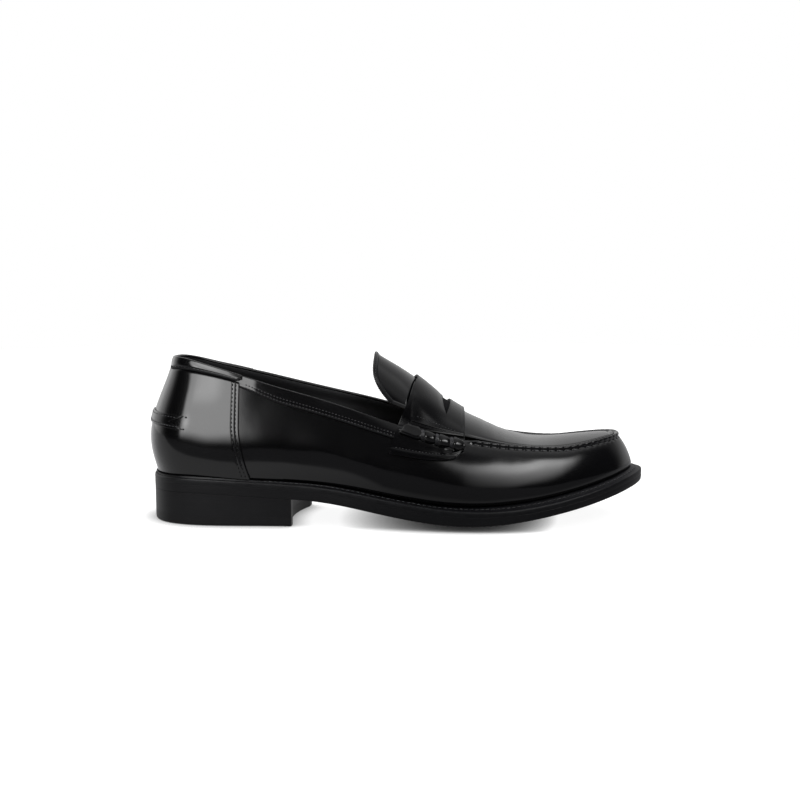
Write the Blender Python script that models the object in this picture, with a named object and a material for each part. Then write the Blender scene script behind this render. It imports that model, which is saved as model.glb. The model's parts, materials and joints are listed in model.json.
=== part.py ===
"""Penny loafer, right shoe: stacked heel, welted sole, leather upper with moccasin apron,
saddle strap with a slot, beef rolls and a heel tab. Metres, +Z up, toe towards +X, outer
(lateral) side -Y, inner (medial) side +Y, origin at the bottom centre of the shoe's bounding
box. Every layer of leather is its own closed body.

All sizes below are millimetres; body() and pivot() turn them into metres. Leather layers are
patches of three form surfaces: wall(station, height), vamp(x, across) and girth(x, around)."""
import math

import bmesh
import bpy
import numpy as np

for old in list(bpy.data.objects):
    bpy.data.objects.remove(old, do_unlink=True)

# ---------------------------------------------------------------- driving dimensions
CENTRE_X, CENTRE_Y = 149.12, -1.354     # bounding box centre in the form's frame
SHOE_LENGTH = 300.0
CLEAR = 0.3                             # air left between neighbouring layers
LEATHER = 1.3                           # upper leather
COLLAR_LEATHER = 1.0                    # front collar strips
STRAP_LEATHER = 1.4
LINING = 0.8                            # lining leather
STIFF = 0.7                             # heel counter and toe puff
WELT_T = 3.4                            # welt thickness
HEEL_TOP_PIECE = 5.4                    # rubber top piece
HEEL_LIFTS = 3
BREAST_LAT, BREAST_MED = 87.0, 94.0     # x of the heel breast: outer side, inner side
BREAST_BOW = 4.5                        # hollow of the breast
FLEX_X, FLEX_Z = 215.0, 19.4            # ball flex line: on top of the insole
FLEX_REAR_X = FLEX_X - CLEAR / 2        # end of the rear parts
FLEX_FRONT_X = FLEX_X + CLEAR / 2       # start of the forepart parts
TONGUE_X, TONGUE_Z = 162.0, 84.4        # tongue bends at the strap's rear edge

LATERAL, MEDIAL = -1, 1                 # sign of y on each side
SIDES = (("lateral", LATERAL), ("medial", MEDIAL))
STATIONS = 36.0                         # stations round the shoe: 0 back of heel, 18 toe tip
TOE = STATIONS / 2


# ---------------------------------------------------------------- number helpers
def natural_spline(knots_x, knots_y):
    """Natural cubic spline through the knots, straight beyond its ends."""
    kx, ky = np.array(knots_x, float), np.array(knots_y, float)
    count, step = len(kx), np.diff(kx)
    matrix, target = np.zeros((count, count)), np.zeros(count)
    matrix[0, 0] = matrix[-1, -1] = 1.0
    for i in range(1, count - 1):
        matrix[i, i - 1:i + 2] = step[i - 1], 2 * (step[i - 1] + step[i]), step[i]
        target[i] = 6 * ((ky[i + 1] - ky[i]) / step[i] - (ky[i] - ky[i - 1]) / step[i - 1])
    curve = np.linalg.solve(matrix, target)
    slope_start = (ky[1] - ky[0]) / step[0] - step[0] * (2 * curve[0] + curve[1]) / 6
    slope_end = (ky[-1] - ky[-2]) / step[-1] + step[-1] * (2 * curve[-1] + curve[-2]) / 6

    def value(x):
        x = np.asarray(x, float)
        inside = np.clip(x, kx[0], kx[-1])
        i = np.clip(np.searchsorted(kx, inside) - 1, 0, count - 2)
        left, right, width = kx[i + 1] - inside, inside - kx[i], step[i]
        y = ((curve[i] * left ** 3 + curve[i + 1] * right ** 3) / (6 * width)
             + (ky[i] / width - curve[i] * width / 6) * left
             + (ky[i + 1] / width - curve[i + 1] * width / 6) * right)
        return (y + np.where(x < kx[0], (x - kx[0]) * slope_start, 0)
                + np.where(x > kx[-1], (x - kx[-1]) * slope_end, 0))
    return value


def periodic_spline(values):
    """Periodic cubic spline through evenly spaced knots 0, 1, 2..."""
    knots = np.array(values, float)
    count = len(knots)
    matrix = np.zeros((count, count))
    for i in range(count):
        matrix[i, i], matrix[i, i - 1], matrix[i, (i + 1) % count] = 4, 1, 1
    curve = np.linalg.solve(matrix, 6 * (np.roll(knots, -1) - 2 * knots + np.roll(knots, 1)))

    def value(station):
        station = np.mod(np.asarray(station, float), count)
        i = np.floor(station).astype(int) % count
        j = (i + 1) % count
        right = station - np.floor(station)
        left = 1 - right
        return (curve[i] * (left ** 3 - left) / 6 + curve[j] * (right ** 3 - right) / 6
                + knots[i] * left + knots[j] * right)
    return value


def loop(lateral, medial=None):
    """Station values heel to toe on the outer side, then back along the inner side."""
    medial = lateral if medial is None else medial
    return periodic_spline(list(lateral) + list(medial[-2:0:-1]))


def const(value):
    """Function that gives the same value everywhere, in the shape of its first argument."""
    return lambda *args: value + 0 * args[0]


def even(n):
    return np.linspace(0, 1, n)


def ease_both(n):
    """0..1 in n steps, closer together towards both ends."""
    return (1 - np.cos(np.pi * even(n))) / 2


def ease_start(n):
    return 1 - np.cos(np.pi / 2 * even(n))


def ease_end(n):
    return np.sin(np.pi / 2 * even(n))


def smooth_step(x, start, end):
    share = np.clip((np.asarray(x, float) - start) / (end - start), 0, 1)
    return share * share * (3 - 2 * share)


def unit(vectors):
    return vectors / np.maximum(np.linalg.norm(vectors, axis=-1, keepdims=True), 1e-12)


def broadcast(*values):
    return np.broadcast_arrays(*(np.asarray(value, float) for value in values))


def offset_surface(surface, u_step, v_step, u_range, v_range):
    """Function (u, v, out) that moves the surface's point outwards along its normal.
    Normals are taken inside the given ranges, by differences of the given steps."""
    def point(u, v, out=0.0):
        u, v, out = broadcast(u, v, out)
        uc, vc = np.clip(u, *u_range), np.clip(v, *v_range)
        normal = unit(np.cross(surface(uc + u_step, vc) - surface(uc - u_step, vc),
                               surface(uc, vc + v_step) - surface(uc, vc - v_step)))
        return surface(u, v) + normal * out[..., None]
    return point


# ---------------------------------------------------------------- shoe form: station tables
# One value per station, heel (0) to toe (18); LAT outer side, MED inner side.
# Outsole plan
SOLE_X = [0, 2.0, 8, 18, 33, 52, 74, 97, 120, 143, 166, 190, 213, 235, 255, 272, 286, 295.7,
          SHOE_LENGTH]
SOLE_Y_LAT = [0, -11.5, -22.3, -29.8, -34.2, -35.6, -35.8, -37.2, -40.6, -45.3,
              -49.6, -52.2, -51.8, -48.3, -42.2, -34, -23.5, -10.7, 4]
SOLE_Y_MED = [0, 11.5, 22.3, 29.5, 33.5, 34.3, 33.0, 30.2, 28.8, 30.6,
              36.2, 43.6, 48.6, 49.6, 46.8, 41, 32, 19.5, 4]
# Topline and moccasin seam
TOP_X = [13.2, 14.6, 18.3, 26.5, 39, 56, 77, 99, 121, 143,
         165, 189, 211, 231, 248, 261.5, 272.5, 280.3, 283]
TOP_Y_LAT = [0, -8.8, -15.8, -20.8, -24.2, -26.7, -28.7, -30.5, -32.2, -34.3,
             -36.2, -36.2, -34.6, -31.6, -27.6, -22.2, -15.2, -6.2, 4]
TOP_Y_MED = [0, 8.8, 15.8, 20.8, 24.2, 26.7, 28.5, 30.0, 31.2, 32.2,
             33.2, 34.2, 34.6, 34.0, 32.0, 28.4, 22.6, 14.0, 4]
TOP_Z_LAT = [98.6, 98.9, 99.4, 98.2, 94.8, 89.8, 83.2, 77.2, 70.4, 63.0,
             56.8, 52.6, 49.2, 47.3, 46.7, 48.0, 49.9, 51.0, 51.3]
TOP_Z_MED = [98.6, 98.5, 97.8, 95.8, 92.4, 88.2, 83.0, 77.6, 72.4, 66.8,
             60.0, 53.6, 48.6, 45.5, 45.0, 46.8, 49.0, 50.7, 51.3]
# Welt projection beyond the feather line, and rise of the welt's top towards the upper
WELT = [1.7, 1.7, 1.8, 1.9, 2.0, 2.1, 2.4, 2.8, 3.4, 4.0,
        4.6, 5.0, 5.2, 5.2, 5.3, 5.4, 5.7, 6.2, 6.6]
RISE = [1.8, 1.8, 1.8, 1.8, 1.8, 1.7, 1.6, 1.6, 1.5, 1.4,
        1.5, 2.0, 2.7, 3.0, 3.1, 3.1, 3.1, 3.1, 3.1]
# Fullness of the wall, and exponents of its bulge profile at the bottom and the top
FULL_LAT = [7.2, 6.9, 6.2, 5.3, 4.6, 4.4, 4.6, 5.0, 5.6, 6.4,
            7.0, 7.2, 6.9, 6.2, 5.4, 4.5, 3.4, 2.7, 2.5]
FULL_MED = [7.2, 6.9, 6.2, 5.3, 4.6, 4.2, 3.8, 3.6, 3.8, 4.6,
            6.0, 7.2, 7.6, 7.2, 6.2, 5.0, 3.7, 2.8, 2.5]
BULGE_LOW = [1.2, 1.2, 1.15, 1.05, 0.95, 0.88, 0.85, 0.85, 0.85, 0.82,
             0.8, 0.78, 0.76, 0.74, 0.72, 0.7, 0.66, 0.62, 0.6]
BULGE_HIGH = [1.9, 1.9, 1.8, 1.6, 1.4, 1.25, 1.15, 1.05, 0.95, 0.88,
              0.8, 0.72, 0.66, 0.6, 0.56, 0.52, 0.5, 0.47, 0.45]

sole_x, sole_y = loop(SOLE_X), loop(SOLE_Y_LAT, SOLE_Y_MED)
top_x, top_y, top_z = loop(TOP_X), loop(TOP_Y_LAT, TOP_Y_MED), loop(TOP_Z_LAT, TOP_Z_MED)
welt_width, rise, fullness = loop(WELT), loop(RISE), loop(FULL_LAT, FULL_MED)
bulge_low, bulge_high = loop(BULGE_LOW), loop(BULGE_HIGH)

# Heights by x: the outsole edge with the welt on it, the outsole edge's own thickness,
# and the ridge of the instep.
edge_z = natural_spline(
    [0, 25, 50, 70, 90, 105, 123, 141, 159, 177, 195, 213, 231, 249, 268, 281, 290, 300],
    [27.4, 28.1, 27.3, 26.1, 25.0, 23.8, 21.4, 18.3, 15.4,
     13.1, 12.2, 12.7, 14.7, 17.9, 22.2, 25.6, 28.0, 30.2])
edge_thickness = natural_spline([0, 60, 100, 150, 175, 200, 225, 250, 300],
                                [8.6, 8.8, 9.2, 9.8, 9.5, 8.9, 8.0, 7.7, 7.7])
ridge_z = natural_spline(
    [128, 136.5, 141, 151, 162, 174, 182, 189, 193, 200,
     208, 215, 223, 230, 237, 247, 256, 268, 276, 283],
    [105.6, 100.6, 97.8, 91.8, 84.2, 74.4, 69.4, 65.2, 63.0, 59.8,
     56.0, 53.0, 50.6, 49.0, 48.5, 48.9, 49.7, 50.8, 51.4, 51.3])


# ---------------------------------------------------------------- shoe form: surfaces
def plan_normal(curve_x, curve_y, station, step=0.02):
    """Outward unit normal, in plan, of a closed station curve."""
    dx = curve_x(station + step) - curve_x(station - step)
    dy = curve_y(station + step) - curve_y(station - step)
    length = np.hypot(dx, dy)
    return dy / length, -dx / length


def outline(station, inset):
    """Plan point of the sole's edge, moved in by inset."""
    nx, ny = plan_normal(sole_x, sole_y, station)
    return sole_x(station) - inset * nx, sole_y(station) - inset * ny


def feather(station):
    """Line where the upper meets the welt."""
    x, y = outline(station, welt_width(station))
    return x, y, edge_z(x) + rise(station)


def wall_base(station, height):
    station, height = broadcast(station, height)
    foot = np.stack(feather(station), -1)
    top = np.stack([top_x(station), top_y(station), top_z(station)], -1)
    sole_nx, sole_ny = plan_normal(sole_x, sole_y, station)
    top_nx, top_ny = plan_normal(top_x, top_y, station)
    nx, ny = sole_nx + top_nx, sole_ny + top_ny
    length = np.hypot(nx, ny)
    low, high, share = bulge_low(station), bulge_high(station), np.clip(height, 0.0, 1.0)
    peak = low / (low + high)
    bulge = (fullness(station) * (share ** low * (1 - share) ** high)
             / (peak ** low * (1 - peak) ** high))
    outward = np.stack([nx / length, ny / length, 0 * nx], -1)
    return foot + (top - foot) * height[..., None] + outward * bulge[..., None]


# Height share 0 is the feather line, 1 the topline or moccasin seam.
wall = offset_surface(wall_base, 0.05, 0.03, u_range=(-np.inf, np.inf), v_range=(0.04, 0.96))


def side_station(half_station, side):
    """Station 0..18 counted from the heel on one side, as a station of the full loop."""
    return half_station if side == LATERAL else STATIONS - half_station


HALF_STATIONS = np.linspace(0, TOE, 721)
SEAM = {side: [curve(side_station(HALF_STATIONS, side)) for curve in (top_x, top_y, top_z)]
        for side in (LATERAL, MEDIAL)}


def seam(x, side):
    """(y, z) of the seam or topline at x."""
    seam_x, seam_y, seam_z = SEAM[side]
    return np.interp(x, seam_x, seam_y), np.interp(x, seam_x, seam_z)


def seam_station(x, side):
    return side_station(np.interp(x, SEAM[side][0], HALF_STATIONS), side)


def vamp_base(x, across):
    x, across = broadcast(x, across)
    y_lat, z_lat = seam(x, LATERAL)
    y_med, z_med = seam(x, MEDIAL)
    back = np.clip((158 - x) / 22.0, 0, 1)      # behind the strap it tucks inside the quarters
    y_lat, y_med = y_lat + back * 4.0, y_med - back * 3.0
    z_lat, z_med = z_lat - back * 4.0, z_med - back * 5.0
    share = (1 - np.cos(np.pi * across)) / 2
    power = np.interp(x, [130, 160, 190, 215, 245], [.56, .60, .68, .85, 1.0])
    arch = np.power(np.clip(1 - (2 * share - 1) ** 2, 0, 1), power)
    z = z_lat + (z_med - z_lat) * share + (ridge_z(x) - (z_lat + z_med) / 2) * arch
    return np.stack([x, y_lat + (y_med - y_lat) * share, z], -1)


# Top of the vamp; across runs 0..1 from the outer seam to the inner seam.
vamp = offset_surface(vamp_base, 0.4, 0.01, u_range=(120, 281.5), v_range=(.03, .97))

GIRTH_X = np.linspace(138, 200, 32)
GIRTH_FOOT = 0.60                       # wall height share where the path starts and ends


def girth_table():
    """Rows of points over outer wall, instep and inner wall, one row per GIRTH_X."""
    heights = np.linspace(GIRTH_FOOT, 1.0, 21)[:-1]
    rows = []
    for x in GIRTH_X:
        lateral = wall(seam_station(x, LATERAL), heights)
        medial = wall(seam_station(x, MEDIAL), heights)[::-1]
        lateral[:, 0] = x
        medial[:, 0] = x
        path = np.concatenate([lateral, vamp_base(x, even(61)), medial])
        for _ in range(3):              # leather rounds over the edge instead of creasing
            rounded = path.copy()
            rounded[1:-1] = path[1:-1] * .5 + (path[:-2] + path[2:]) * .25
            path = rounded
        rows.append(path)
    return np.array(rows)


GIRTH = girth_table()


def girth_base(x, around):
    x, around = broadcast(x, around)
    n_rows, n_cols = GIRTH.shape[:2]
    row = np.clip((x - GIRTH_X[0]) / (GIRTH_X[1] - GIRTH_X[0]), 0, n_rows - 1.001)
    col = np.clip(around * (n_cols - 1), 0, n_cols - 1.001)
    i, j = row.astype(int), col.astype(int)
    u, v = (row - i)[..., None], (col - j)[..., None]
    return ((GIRTH[i, j] * (1 - u) + GIRTH[i + 1, j] * u) * (1 - v)
            + (GIRTH[i, j + 1] * (1 - u) + GIRTH[i + 1, j + 1] * u) * v)


# Path of a strap over wall, seam and instep; around runs 0..1 from outer to inner side.
girth = offset_surface(girth_base, 2, .02, u_range=(140.5, 197.5), v_range=(.02, .98))


# ---------------------------------------------------------------- materials
def material(name, rgb, roughness, metallic=0.0, coat=0.0):
    mat = bpy.data.materials.new(name)
    mat.use_nodes = True
    inputs = mat.node_tree.nodes["Principled BSDF"].inputs
    inputs["Base Color"].default_value = (*rgb, 1.0)
    inputs["Roughness"].default_value = roughness
    inputs["Metallic"].default_value = metallic
    inputs["Coat Weight"].default_value = coat
    mat.diffuse_color = (*rgb, 1.0)
    return mat


UPPER = material("upper_leather", rgb=(0.012, 0.012, 0.014), roughness=0.22, coat=0.6)
LINER = material("lining_leather", rgb=(0.035, 0.033, 0.033), roughness=0.6)
SOLE = material("sole_leather", rgb=(0.018, 0.018, 0.02), roughness=0.42)
WELTING = material("welt_leather", rgb=(0.015, 0.015, 0.017), roughness=0.38)
RUBBER = material("heel_rubber", rgb=(0.02, 0.02, 0.021), roughness=0.55)
INSOLE = material("insole_leather", rgb=(0.30, 0.20, 0.12), roughness=0.7)
CORK = material("cork_filler", rgb=(0.34, 0.22, 0.12), roughness=0.9)
STEEL = material("shank_steel", rgb=(0.55, 0.56, 0.58), roughness=0.35, metallic=1.0)
BOARD = material("stiffener_board", rgb=(0.36, 0.31, 0.25), roughness=0.8)
THREAD = material("lashing_thread", rgb=(0.012, 0.012, 0.014), roughness=0.45)


# ---------------------------------------------------------------- mesh helpers
def pivot(name, x, z):
    empty = bpy.data.objects.new(name, None)
    empty.location = ((x - CENTRE_X) / 1000, 0.0, z / 1000)
    empty.empty_display_size = 0.02
    bpy.context.scene.collection.objects.link(empty)
    return empty


def body(name, points, faces, mat, parent=None, angle=35.0):
    """Mesh object from form points; edges sharper than angle (degrees) stay sharp."""
    points = (np.asarray(points, float).reshape(-1, 3) - (CENTRE_X, CENTRE_Y, 0.0)) / 1000
    if parent is not None:
        points = points - np.array(parent.location)
    mesh = bpy.data.meshes.new(name)
    mesh.from_pydata(points.tolist(), [], faces)
    bm = bmesh.new()
    bm.from_mesh(mesh)
    bmesh.ops.remove_doubles(bm, verts=bm.verts, dist=2e-6)
    bmesh.ops.dissolve_degenerate(bm, edges=bm.edges, dist=1e-6)
    bmesh.ops.recalc_face_normals(bm, faces=bm.faces)
    if bm.calc_volume(signed=True) < 0:
        bmesh.ops.reverse_faces(bm, faces=bm.faces)
    bm.to_mesh(mesh)
    bm.free()
    mesh.polygons.foreach_set("use_smooth", [True] * len(mesh.polygons))
    mesh.set_sharp_from_angle(angle=math.radians(angle))
    mesh.materials.append(mat)
    obj = bpy.data.objects.new(name, mesh)
    bpy.context.scene.collection.objects.link(obj)
    obj.parent = parent


def shell(name, outer, inner, mat, holes=False, **options):
    """Closed body between two grids (rows, cols, 3); cells marked in holes are left out."""
    n_rows, n_cols = outer.shape[:2]
    n = n_rows * n_cols
    gone = np.ones((n_rows + 1, n_cols + 1), bool)      # cell (i, j) is at [i + 1, j + 1]
    gone[1:-1, 1:-1] = holes
    faces = []
    for i in range(n_rows - 1):
        for j in range(n_cols - 1):
            if gone[i + 1, j + 1]:
                continue
            a = i * n_cols + j
            b = a + n_cols
            c, d = b + 1, a + 1
            faces += [(a, b, c, d), (d + n, c + n, b + n, a + n)]
            for start, end, open_edge in (
                    (a, b, gone[i + 1, j]), (c, d, gone[i + 1, j + 2]),
                    (b, c, gone[i + 2, j + 1]), (d, a, gone[i, j + 1])):
                if open_edge:
                    faces.append((end, start, start + n, end + n))
    points = np.concatenate([outer.reshape(-1, 3), inner.reshape(-1, 3)])
    body(name, points, faces, mat, **options)


def sweep(name, sections, mat, **options):
    """Closed body through a row of closed sections (count, points, 3), capped at both ends."""
    count, n = sections.shape[:2]
    faces = [tuple(range(n))[::-1], tuple((count - 1) * n + j for j in range(n))]
    for i in range(count - 1):
        for j in range(n):
            k = (j + 1) % n
            faces.append((i * n + j, i * n + k, (i + 1) * n + k, (i + 1) * n + j))
    body(name, sections.reshape(-1, 3), faces, mat, **options)


def station_at(x, side, inset=const(0.0)):
    """Half station (0..18) where the outline, moved in by inset, reaches x on one side."""
    stations = side_station(HALF_STATIONS, side)
    outline_x, _ = outline(stations, inset(stations))
    return float(np.interp(x, np.maximum.accumulate(outline_x), HALF_STATIONS))


def slab(name, x_rear, x_front, inset, z_low, z_high, mat, n_along, n_across=7, bow=0.0,
         x_front_medial=None, inset_low=None, spacing=ease_start, **options):
    """Plate filling the outline from x_rear to x_front, z_low(x, across) to z_high(x, across).
    inset(station) moves its edge in; bow draws the middle of the front end back."""
    fronts = {LATERAL: x_front, MEDIAL: x_front if x_front_medial is None else x_front_medial}
    along = spacing(n_along)[:, None]
    across = ease_both(n_across)[None, :]

    def face(edge_inset, height):
        edges = []
        for side in (LATERAL, MEDIAL):
            ends = [station_at(x, side, edge_inset) for x in (x_rear, fronts[side])]
            start, end = np.clip(ends, 0.13, 17.85)
            station = side_station(start + (end - start) * along, side)
            edges.append(outline(station, edge_inset(station)))
        (x_lat, y_lat), (x_med, y_med) = edges
        x = x_lat * (1 - across) + x_med * across - bow * 4 * across * (1 - across) * along ** 3
        y = y_lat * (1 - across) + y_med * across
        return np.stack([x, y, height(x, across)], -1)

    shell(name, face(inset, z_high), face(inset_low or inset, z_low), mat, **options)


def strip(name, start, end, low, high, outside, thickness, mat, n_along, n_up, **options):
    """Layer of the wall between stations start(up) and end(up) and height shares low(station)
    and high(station); outside(station, height) is its outer face's offset from the form."""
    up = even(n_up)[None, :]
    along = even(n_along)[:, None]
    station = start(up) * (1 - along) + end(up) * along
    height = low(station) * (1 - up) + high(station) * up
    out = outside(station, height)
    shell(name, wall(station, height, out), wall(station, height, out - thickness), mat,
          **options)


def leaf(name, x_start, x_end, inset, outside, thickness, mat, n_along, n_across,
         spacing=ease_end, **options):
    """Layer of the vamp top from x_start(share) to x_end(share), inset from the seams."""
    share = ease_both(n_across)[None, :]
    along = spacing(n_along)[:, None]
    x = x_start(share) * (1 - along) + x_end(share) * along
    width = seam(x, MEDIAL)[0] - seam(x, LATERAL)[0]
    margin = np.clip(inset / np.maximum(width, 1e-6), 0, 0.49)
    flat_share = margin + (1 - 2 * margin) * share
    across = np.arccos(np.clip(1 - 2 * flat_share, -1, 1)) / np.pi
    shell(name, vamp(x, across, outside), vamp(x, across, outside - thickness), mat, **options)


toe_flex = pivot("toe_flex_pivot", FLEX_X, FLEX_Z)
tongue_bend = pivot("tongue_pivot", TONGUE_X, TONGUE_Z)

# ---------------------------------------------------------------- bottom unit
SOLE_LOW_INSET = 0.7                    # the outsole's lower edge is drawn in
CORK_INSET = 13.0
BED = -1.0                              # top of cork and shank, from the feather level
INSOLE_LOW, INSOLE_HIGH = 1.7, 3.7      # insole faces above the feather level
SOCK_LOW, SOCK_HIGH = 4.0, 5.1
SHANK_REAR, SHANK_FRONT, SHANK_T = 42, 148, 1.3
SHANK_HALF_WIDTH = 7.0
WELT_END = 0.02                         # stations left open at each end of a welt
WELT_TUCK = 6.0                         # how far the welt runs in under the upper


def sole_low(x, across):
    """Underside of the outsole, which rounds down below its edge."""
    dip = np.interp(x, [0, 96, 130, 180, 210, 250, 285, 300], [0, 0, 1.0, 2.6, 3.0, 2.0, 0.8, 0])
    return edge_z(x) - edge_thickness(x) - dip * (1 - (2 * across - 1) ** 2)


def sole_high(x, across):
    return edge_z(x) - WELT_T - CLEAR


def cork_low(x, across):
    return sole_high(x, across) + CLEAR


def feather_level(x):
    """Height of the feather line over the plan, the level the inside layers lie on."""
    return edge_z(x) + np.interp(x, [0, 90, 170, 200, 235, 300],
                                 [1.8, 1.65, 1.45, 2.2, 3.05, 3.1])


def above_feather(offset):
    return lambda x, across: feather_level(x) + offset


def inside_welt(extra):
    """Inset that keeps extra inside the feather line."""
    return lambda station: welt_width(station) + extra


def heel_level(share):
    """Height in the heel stack: share 0 on the top piece, 1 under the outsole."""
    low = HEEL_TOP_PIECE + CLEAR
    return lambda x, across: low + (edge_z(x) - edge_thickness(x) - CLEAR - low) * share


def build_heel():
    breast = dict(x_front=BREAST_LAT, x_front_medial=BREAST_MED, bow=BREAST_BOW, n_along=22)
    slab("heel_top_piece", 0.7, inset=const(0.6), inset_low=const(1.1), z_low=const(0.0),
         z_high=const(HEEL_TOP_PIECE), mat=RUBBER, **breast)
    for i in range(HEEL_LIFTS):
        joint = 0.03 if i else 0.0      # gap below each lift but the first, as a share
        slab("heel_lift_%d" % (i + 1), 0.6, inset=const(0.5),
             z_low=heel_level(i / HEEL_LIFTS + joint), z_high=heel_level((i + 1) / HEEL_LIFTS),
             mat=SOLE, **breast)


def build_outsole():
    shape = dict(inset=const(0.0), inset_low=const(SOLE_LOW_INSET), z_low=sole_low,
                 z_high=sole_high, mat=SOLE)
    slab("outsole_rear", 0.0, FLEX_REAR_X, n_along=30, **shape)
    slab("outsole_forepart", FLEX_FRONT_X, SHOE_LENGTH, n_along=20, spacing=ease_end,
         parent=toe_flex, **shape)


def welt(name, start, end, count, **options):
    station = np.linspace(start, end, count)
    width, lift = welt_width(station), rise(station)
    section = []
    for inset, up in ((0.15, -WELT_T), (0.0, -0.5), (0.5, 0.0), (width, lift - 0.45),
                      (width + WELT_TUCK, lift - 0.4), (width + WELT_TUCK, -WELT_T)):
        x, y = outline(station, inset)
        section.append(np.stack([x, y, edge_z(x) + up], -1))
    sweep(name, np.stack(section, 1), WELTING, **options)


def build_welts():
    welt("welt_rear", -(station_at(FLEX_REAR_X, MEDIAL) - WELT_END),
         station_at(FLEX_REAR_X, LATERAL) - WELT_END, 76)
    welt("welt_forepart", station_at(FLEX_FRONT_X, LATERAL) + WELT_END,
         STATIONS - station_at(FLEX_FRONT_X, MEDIAL) - WELT_END, 44, parent=toe_flex)


def build_cork():
    shape = dict(inset=const(CORK_INSET), z_low=cork_low, z_high=above_feather(BED),
                 mat=CORK, n_across=5)
    slab("cork_filler_waist", 152, FLEX_X - 6, n_along=8, **shape)
    slab("cork_filler_forepart", FLEX_X + 5, 286, n_along=12, spacing=ease_end,
         parent=toe_flex, **shape)


def build_insoles():
    shape = dict(z_low=above_feather(INSOLE_LOW), z_high=above_feather(INSOLE_HIGH),
                 mat=INSOLE, n_across=5)
    slab("insole_rear", 0, FLEX_REAR_X, inside_welt(4.4), n_along=26, **shape)
    slab("insole_forepart", FLEX_FRONT_X, SHOE_LENGTH, inside_welt(4.6), n_along=16,
         spacing=ease_end, parent=toe_flex, **shape)


def build_heel_sock():
    slab("heel_sock", 0, 108, inside_welt(5.4), above_feather(SOCK_LOW),
         above_feather(SOCK_HIGH), LINER, n_along=16, n_across=5, x_front_medial=112, bow=-6.0)


def build_shank():
    """Steel strip with rounded ends, drifting towards the outer side as it runs forward."""
    x = np.linspace(SHANK_REAR, SHANK_FRONT, 20)[:, None]
    across = np.linspace(-1, 1, 5)[None, :]
    middle = (SHANK_REAR + SHANK_FRONT) / 2
    half = SHANK_HALF_WIDTH * np.sqrt(np.clip(1 - ((x - middle) / 54.5) ** 6, 0.02, 1))
    y = -1.5 - 0.045 * (x - SHANK_REAR) + half * across
    top = np.stack([x + 0 * across, y, feather_level(x) + BED + 0 * across], -1)
    shell("shank", top, top - (0, 0, SHANK_T), STEEL)


# ---------------------------------------------------------------- upper: walls
COUNTER_HIGH = 0.87                     # height share at the top of the counter's front edge
COUNTER_LAP = 0.42                      # stations the side wall runs back under the counter
MARGIN_T = 1.1                          # thickness of the wall's edge turned in underneath
COLLAR_DEPTH = 9.4                      # front collar strips below the topline
COLLAR_SEAM = 5.08                      # station where the rear collar ends
WALL_HEIGHTS = (0.0, 0.09, 0.24, 0.42, 0.60, 0.76, 0.87, 0.94, 1.0)


def wall_height(station):
    return top_z(station) - feather(station)[2]


def share_of_height(distance):
    return lambda station: distance / wall_height(station)


def from_heel(station):
    """Stations away from the back of the heel, on either side."""
    return np.abs(np.where(station > TOE, station - STATIONS, station))


EDGE_SHARES = even(41)


def counter_edge_table():
    """Station of the outside counter's front edge by height share: upright above, swinging
    forward towards the welt."""
    stations = np.linspace(4.4, 6.4, 81)
    edge = []
    for share in EDGE_SHARES:
        x = 56.1 + 6.4 * max(0.0, 1 - share / 0.55) ** 1.6
        edge.append(np.interp(x, wall(stations, COUNTER_HIGH * share)[:, 0], stations))
    return np.array(edge)


COUNTER_EDGE = counter_edge_table()


def counter_edge(share):
    return np.interp(share, EDGE_SHARES, COUNTER_EDGE)


def rear_collar_depth(station):
    return 7.6 - 3.0 * smooth_step(from_heel(station), 1.5, 5.1)


def front_collar_depth(station):
    return COLLAR_DEPTH - 3.6 * (1 - smooth_step(from_heel(station), 5.1, 6.4))


def lap(station, height):
    """Outward step of the outside counter and collar where they overlap the wall leather."""
    return 1.6 * smooth_step(from_heel(station), 3.7, 4.5)


def lip(station, height):
    """Raised edge of the wall leather along the moccasin seam."""
    return 1.5 * smooth_step(height, 0.86, 0.95) * smooth_step(top_x(station), 194.5, 199)


def margin_line(station, inward, up):
    """Line inside the feather line, raised by up."""
    x, y = outline(station, welt_width(station) + inward)
    return np.stack([x, y, edge_z(x) + rise(station) + up], -1)


def build_side_wall():
    """Wall leather from counter to counter round the toe, turned in at the feather line."""
    def stations(share):
        start = counter_edge(share) - COUNTER_LAP
        return start + even(77) * (STATIONS - 2 * start)

    outer, inner = [], []
    for inward in (6.5, 3.2):
        outer.append(margin_line(stations(0.0), inward, 0.0))
        inner.append(margin_line(stations(0.0), inward, MARGIN_T))
    for height in WALL_HEIGHTS:
        station = stations(height / COUNTER_HIGH)
        outer.append(wall(station, height, lip(station, height)))
        inner.append(wall(station, height, -LEATHER) if height
                     else margin_line(station, 1.35, MARGIN_T))
    shell("side_wall", np.stack(outer, 1), np.stack(inner, 1), UPPER)


def build_counter(side_name, side):
    strip("counter_" + side_name, const(-side * 0.05), lambda up: -side * counter_edge(up),
          const(0.004), lambda station: 1 - (rear_collar_depth(station) + 0.4)
          / wall_height(station), lap, LEATHER, UPPER, 18, 8)


def build_front_collar(side_name, side):
    strip("collar_" + side_name, const(-side * 5.2), const(-side * 9.0),
          lambda station: 1 - front_collar_depth(station) / wall_height(station), const(1.0),
          const(CLEAR + COLLAR_LEATHER), COLLAR_LEATHER, UPPER, 16, 3)


def build_rear_collar():
    def end(up):
        return COLLAR_SEAM - 0.1 * (2 * up - 1) ** 2

    strip("collar_rear", lambda up: -end(up), end,
          lambda station: 1 - rear_collar_depth(station) / wall_height(station), const(1.0),
          lap, LEATHER, UPPER, 37, 3)


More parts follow.
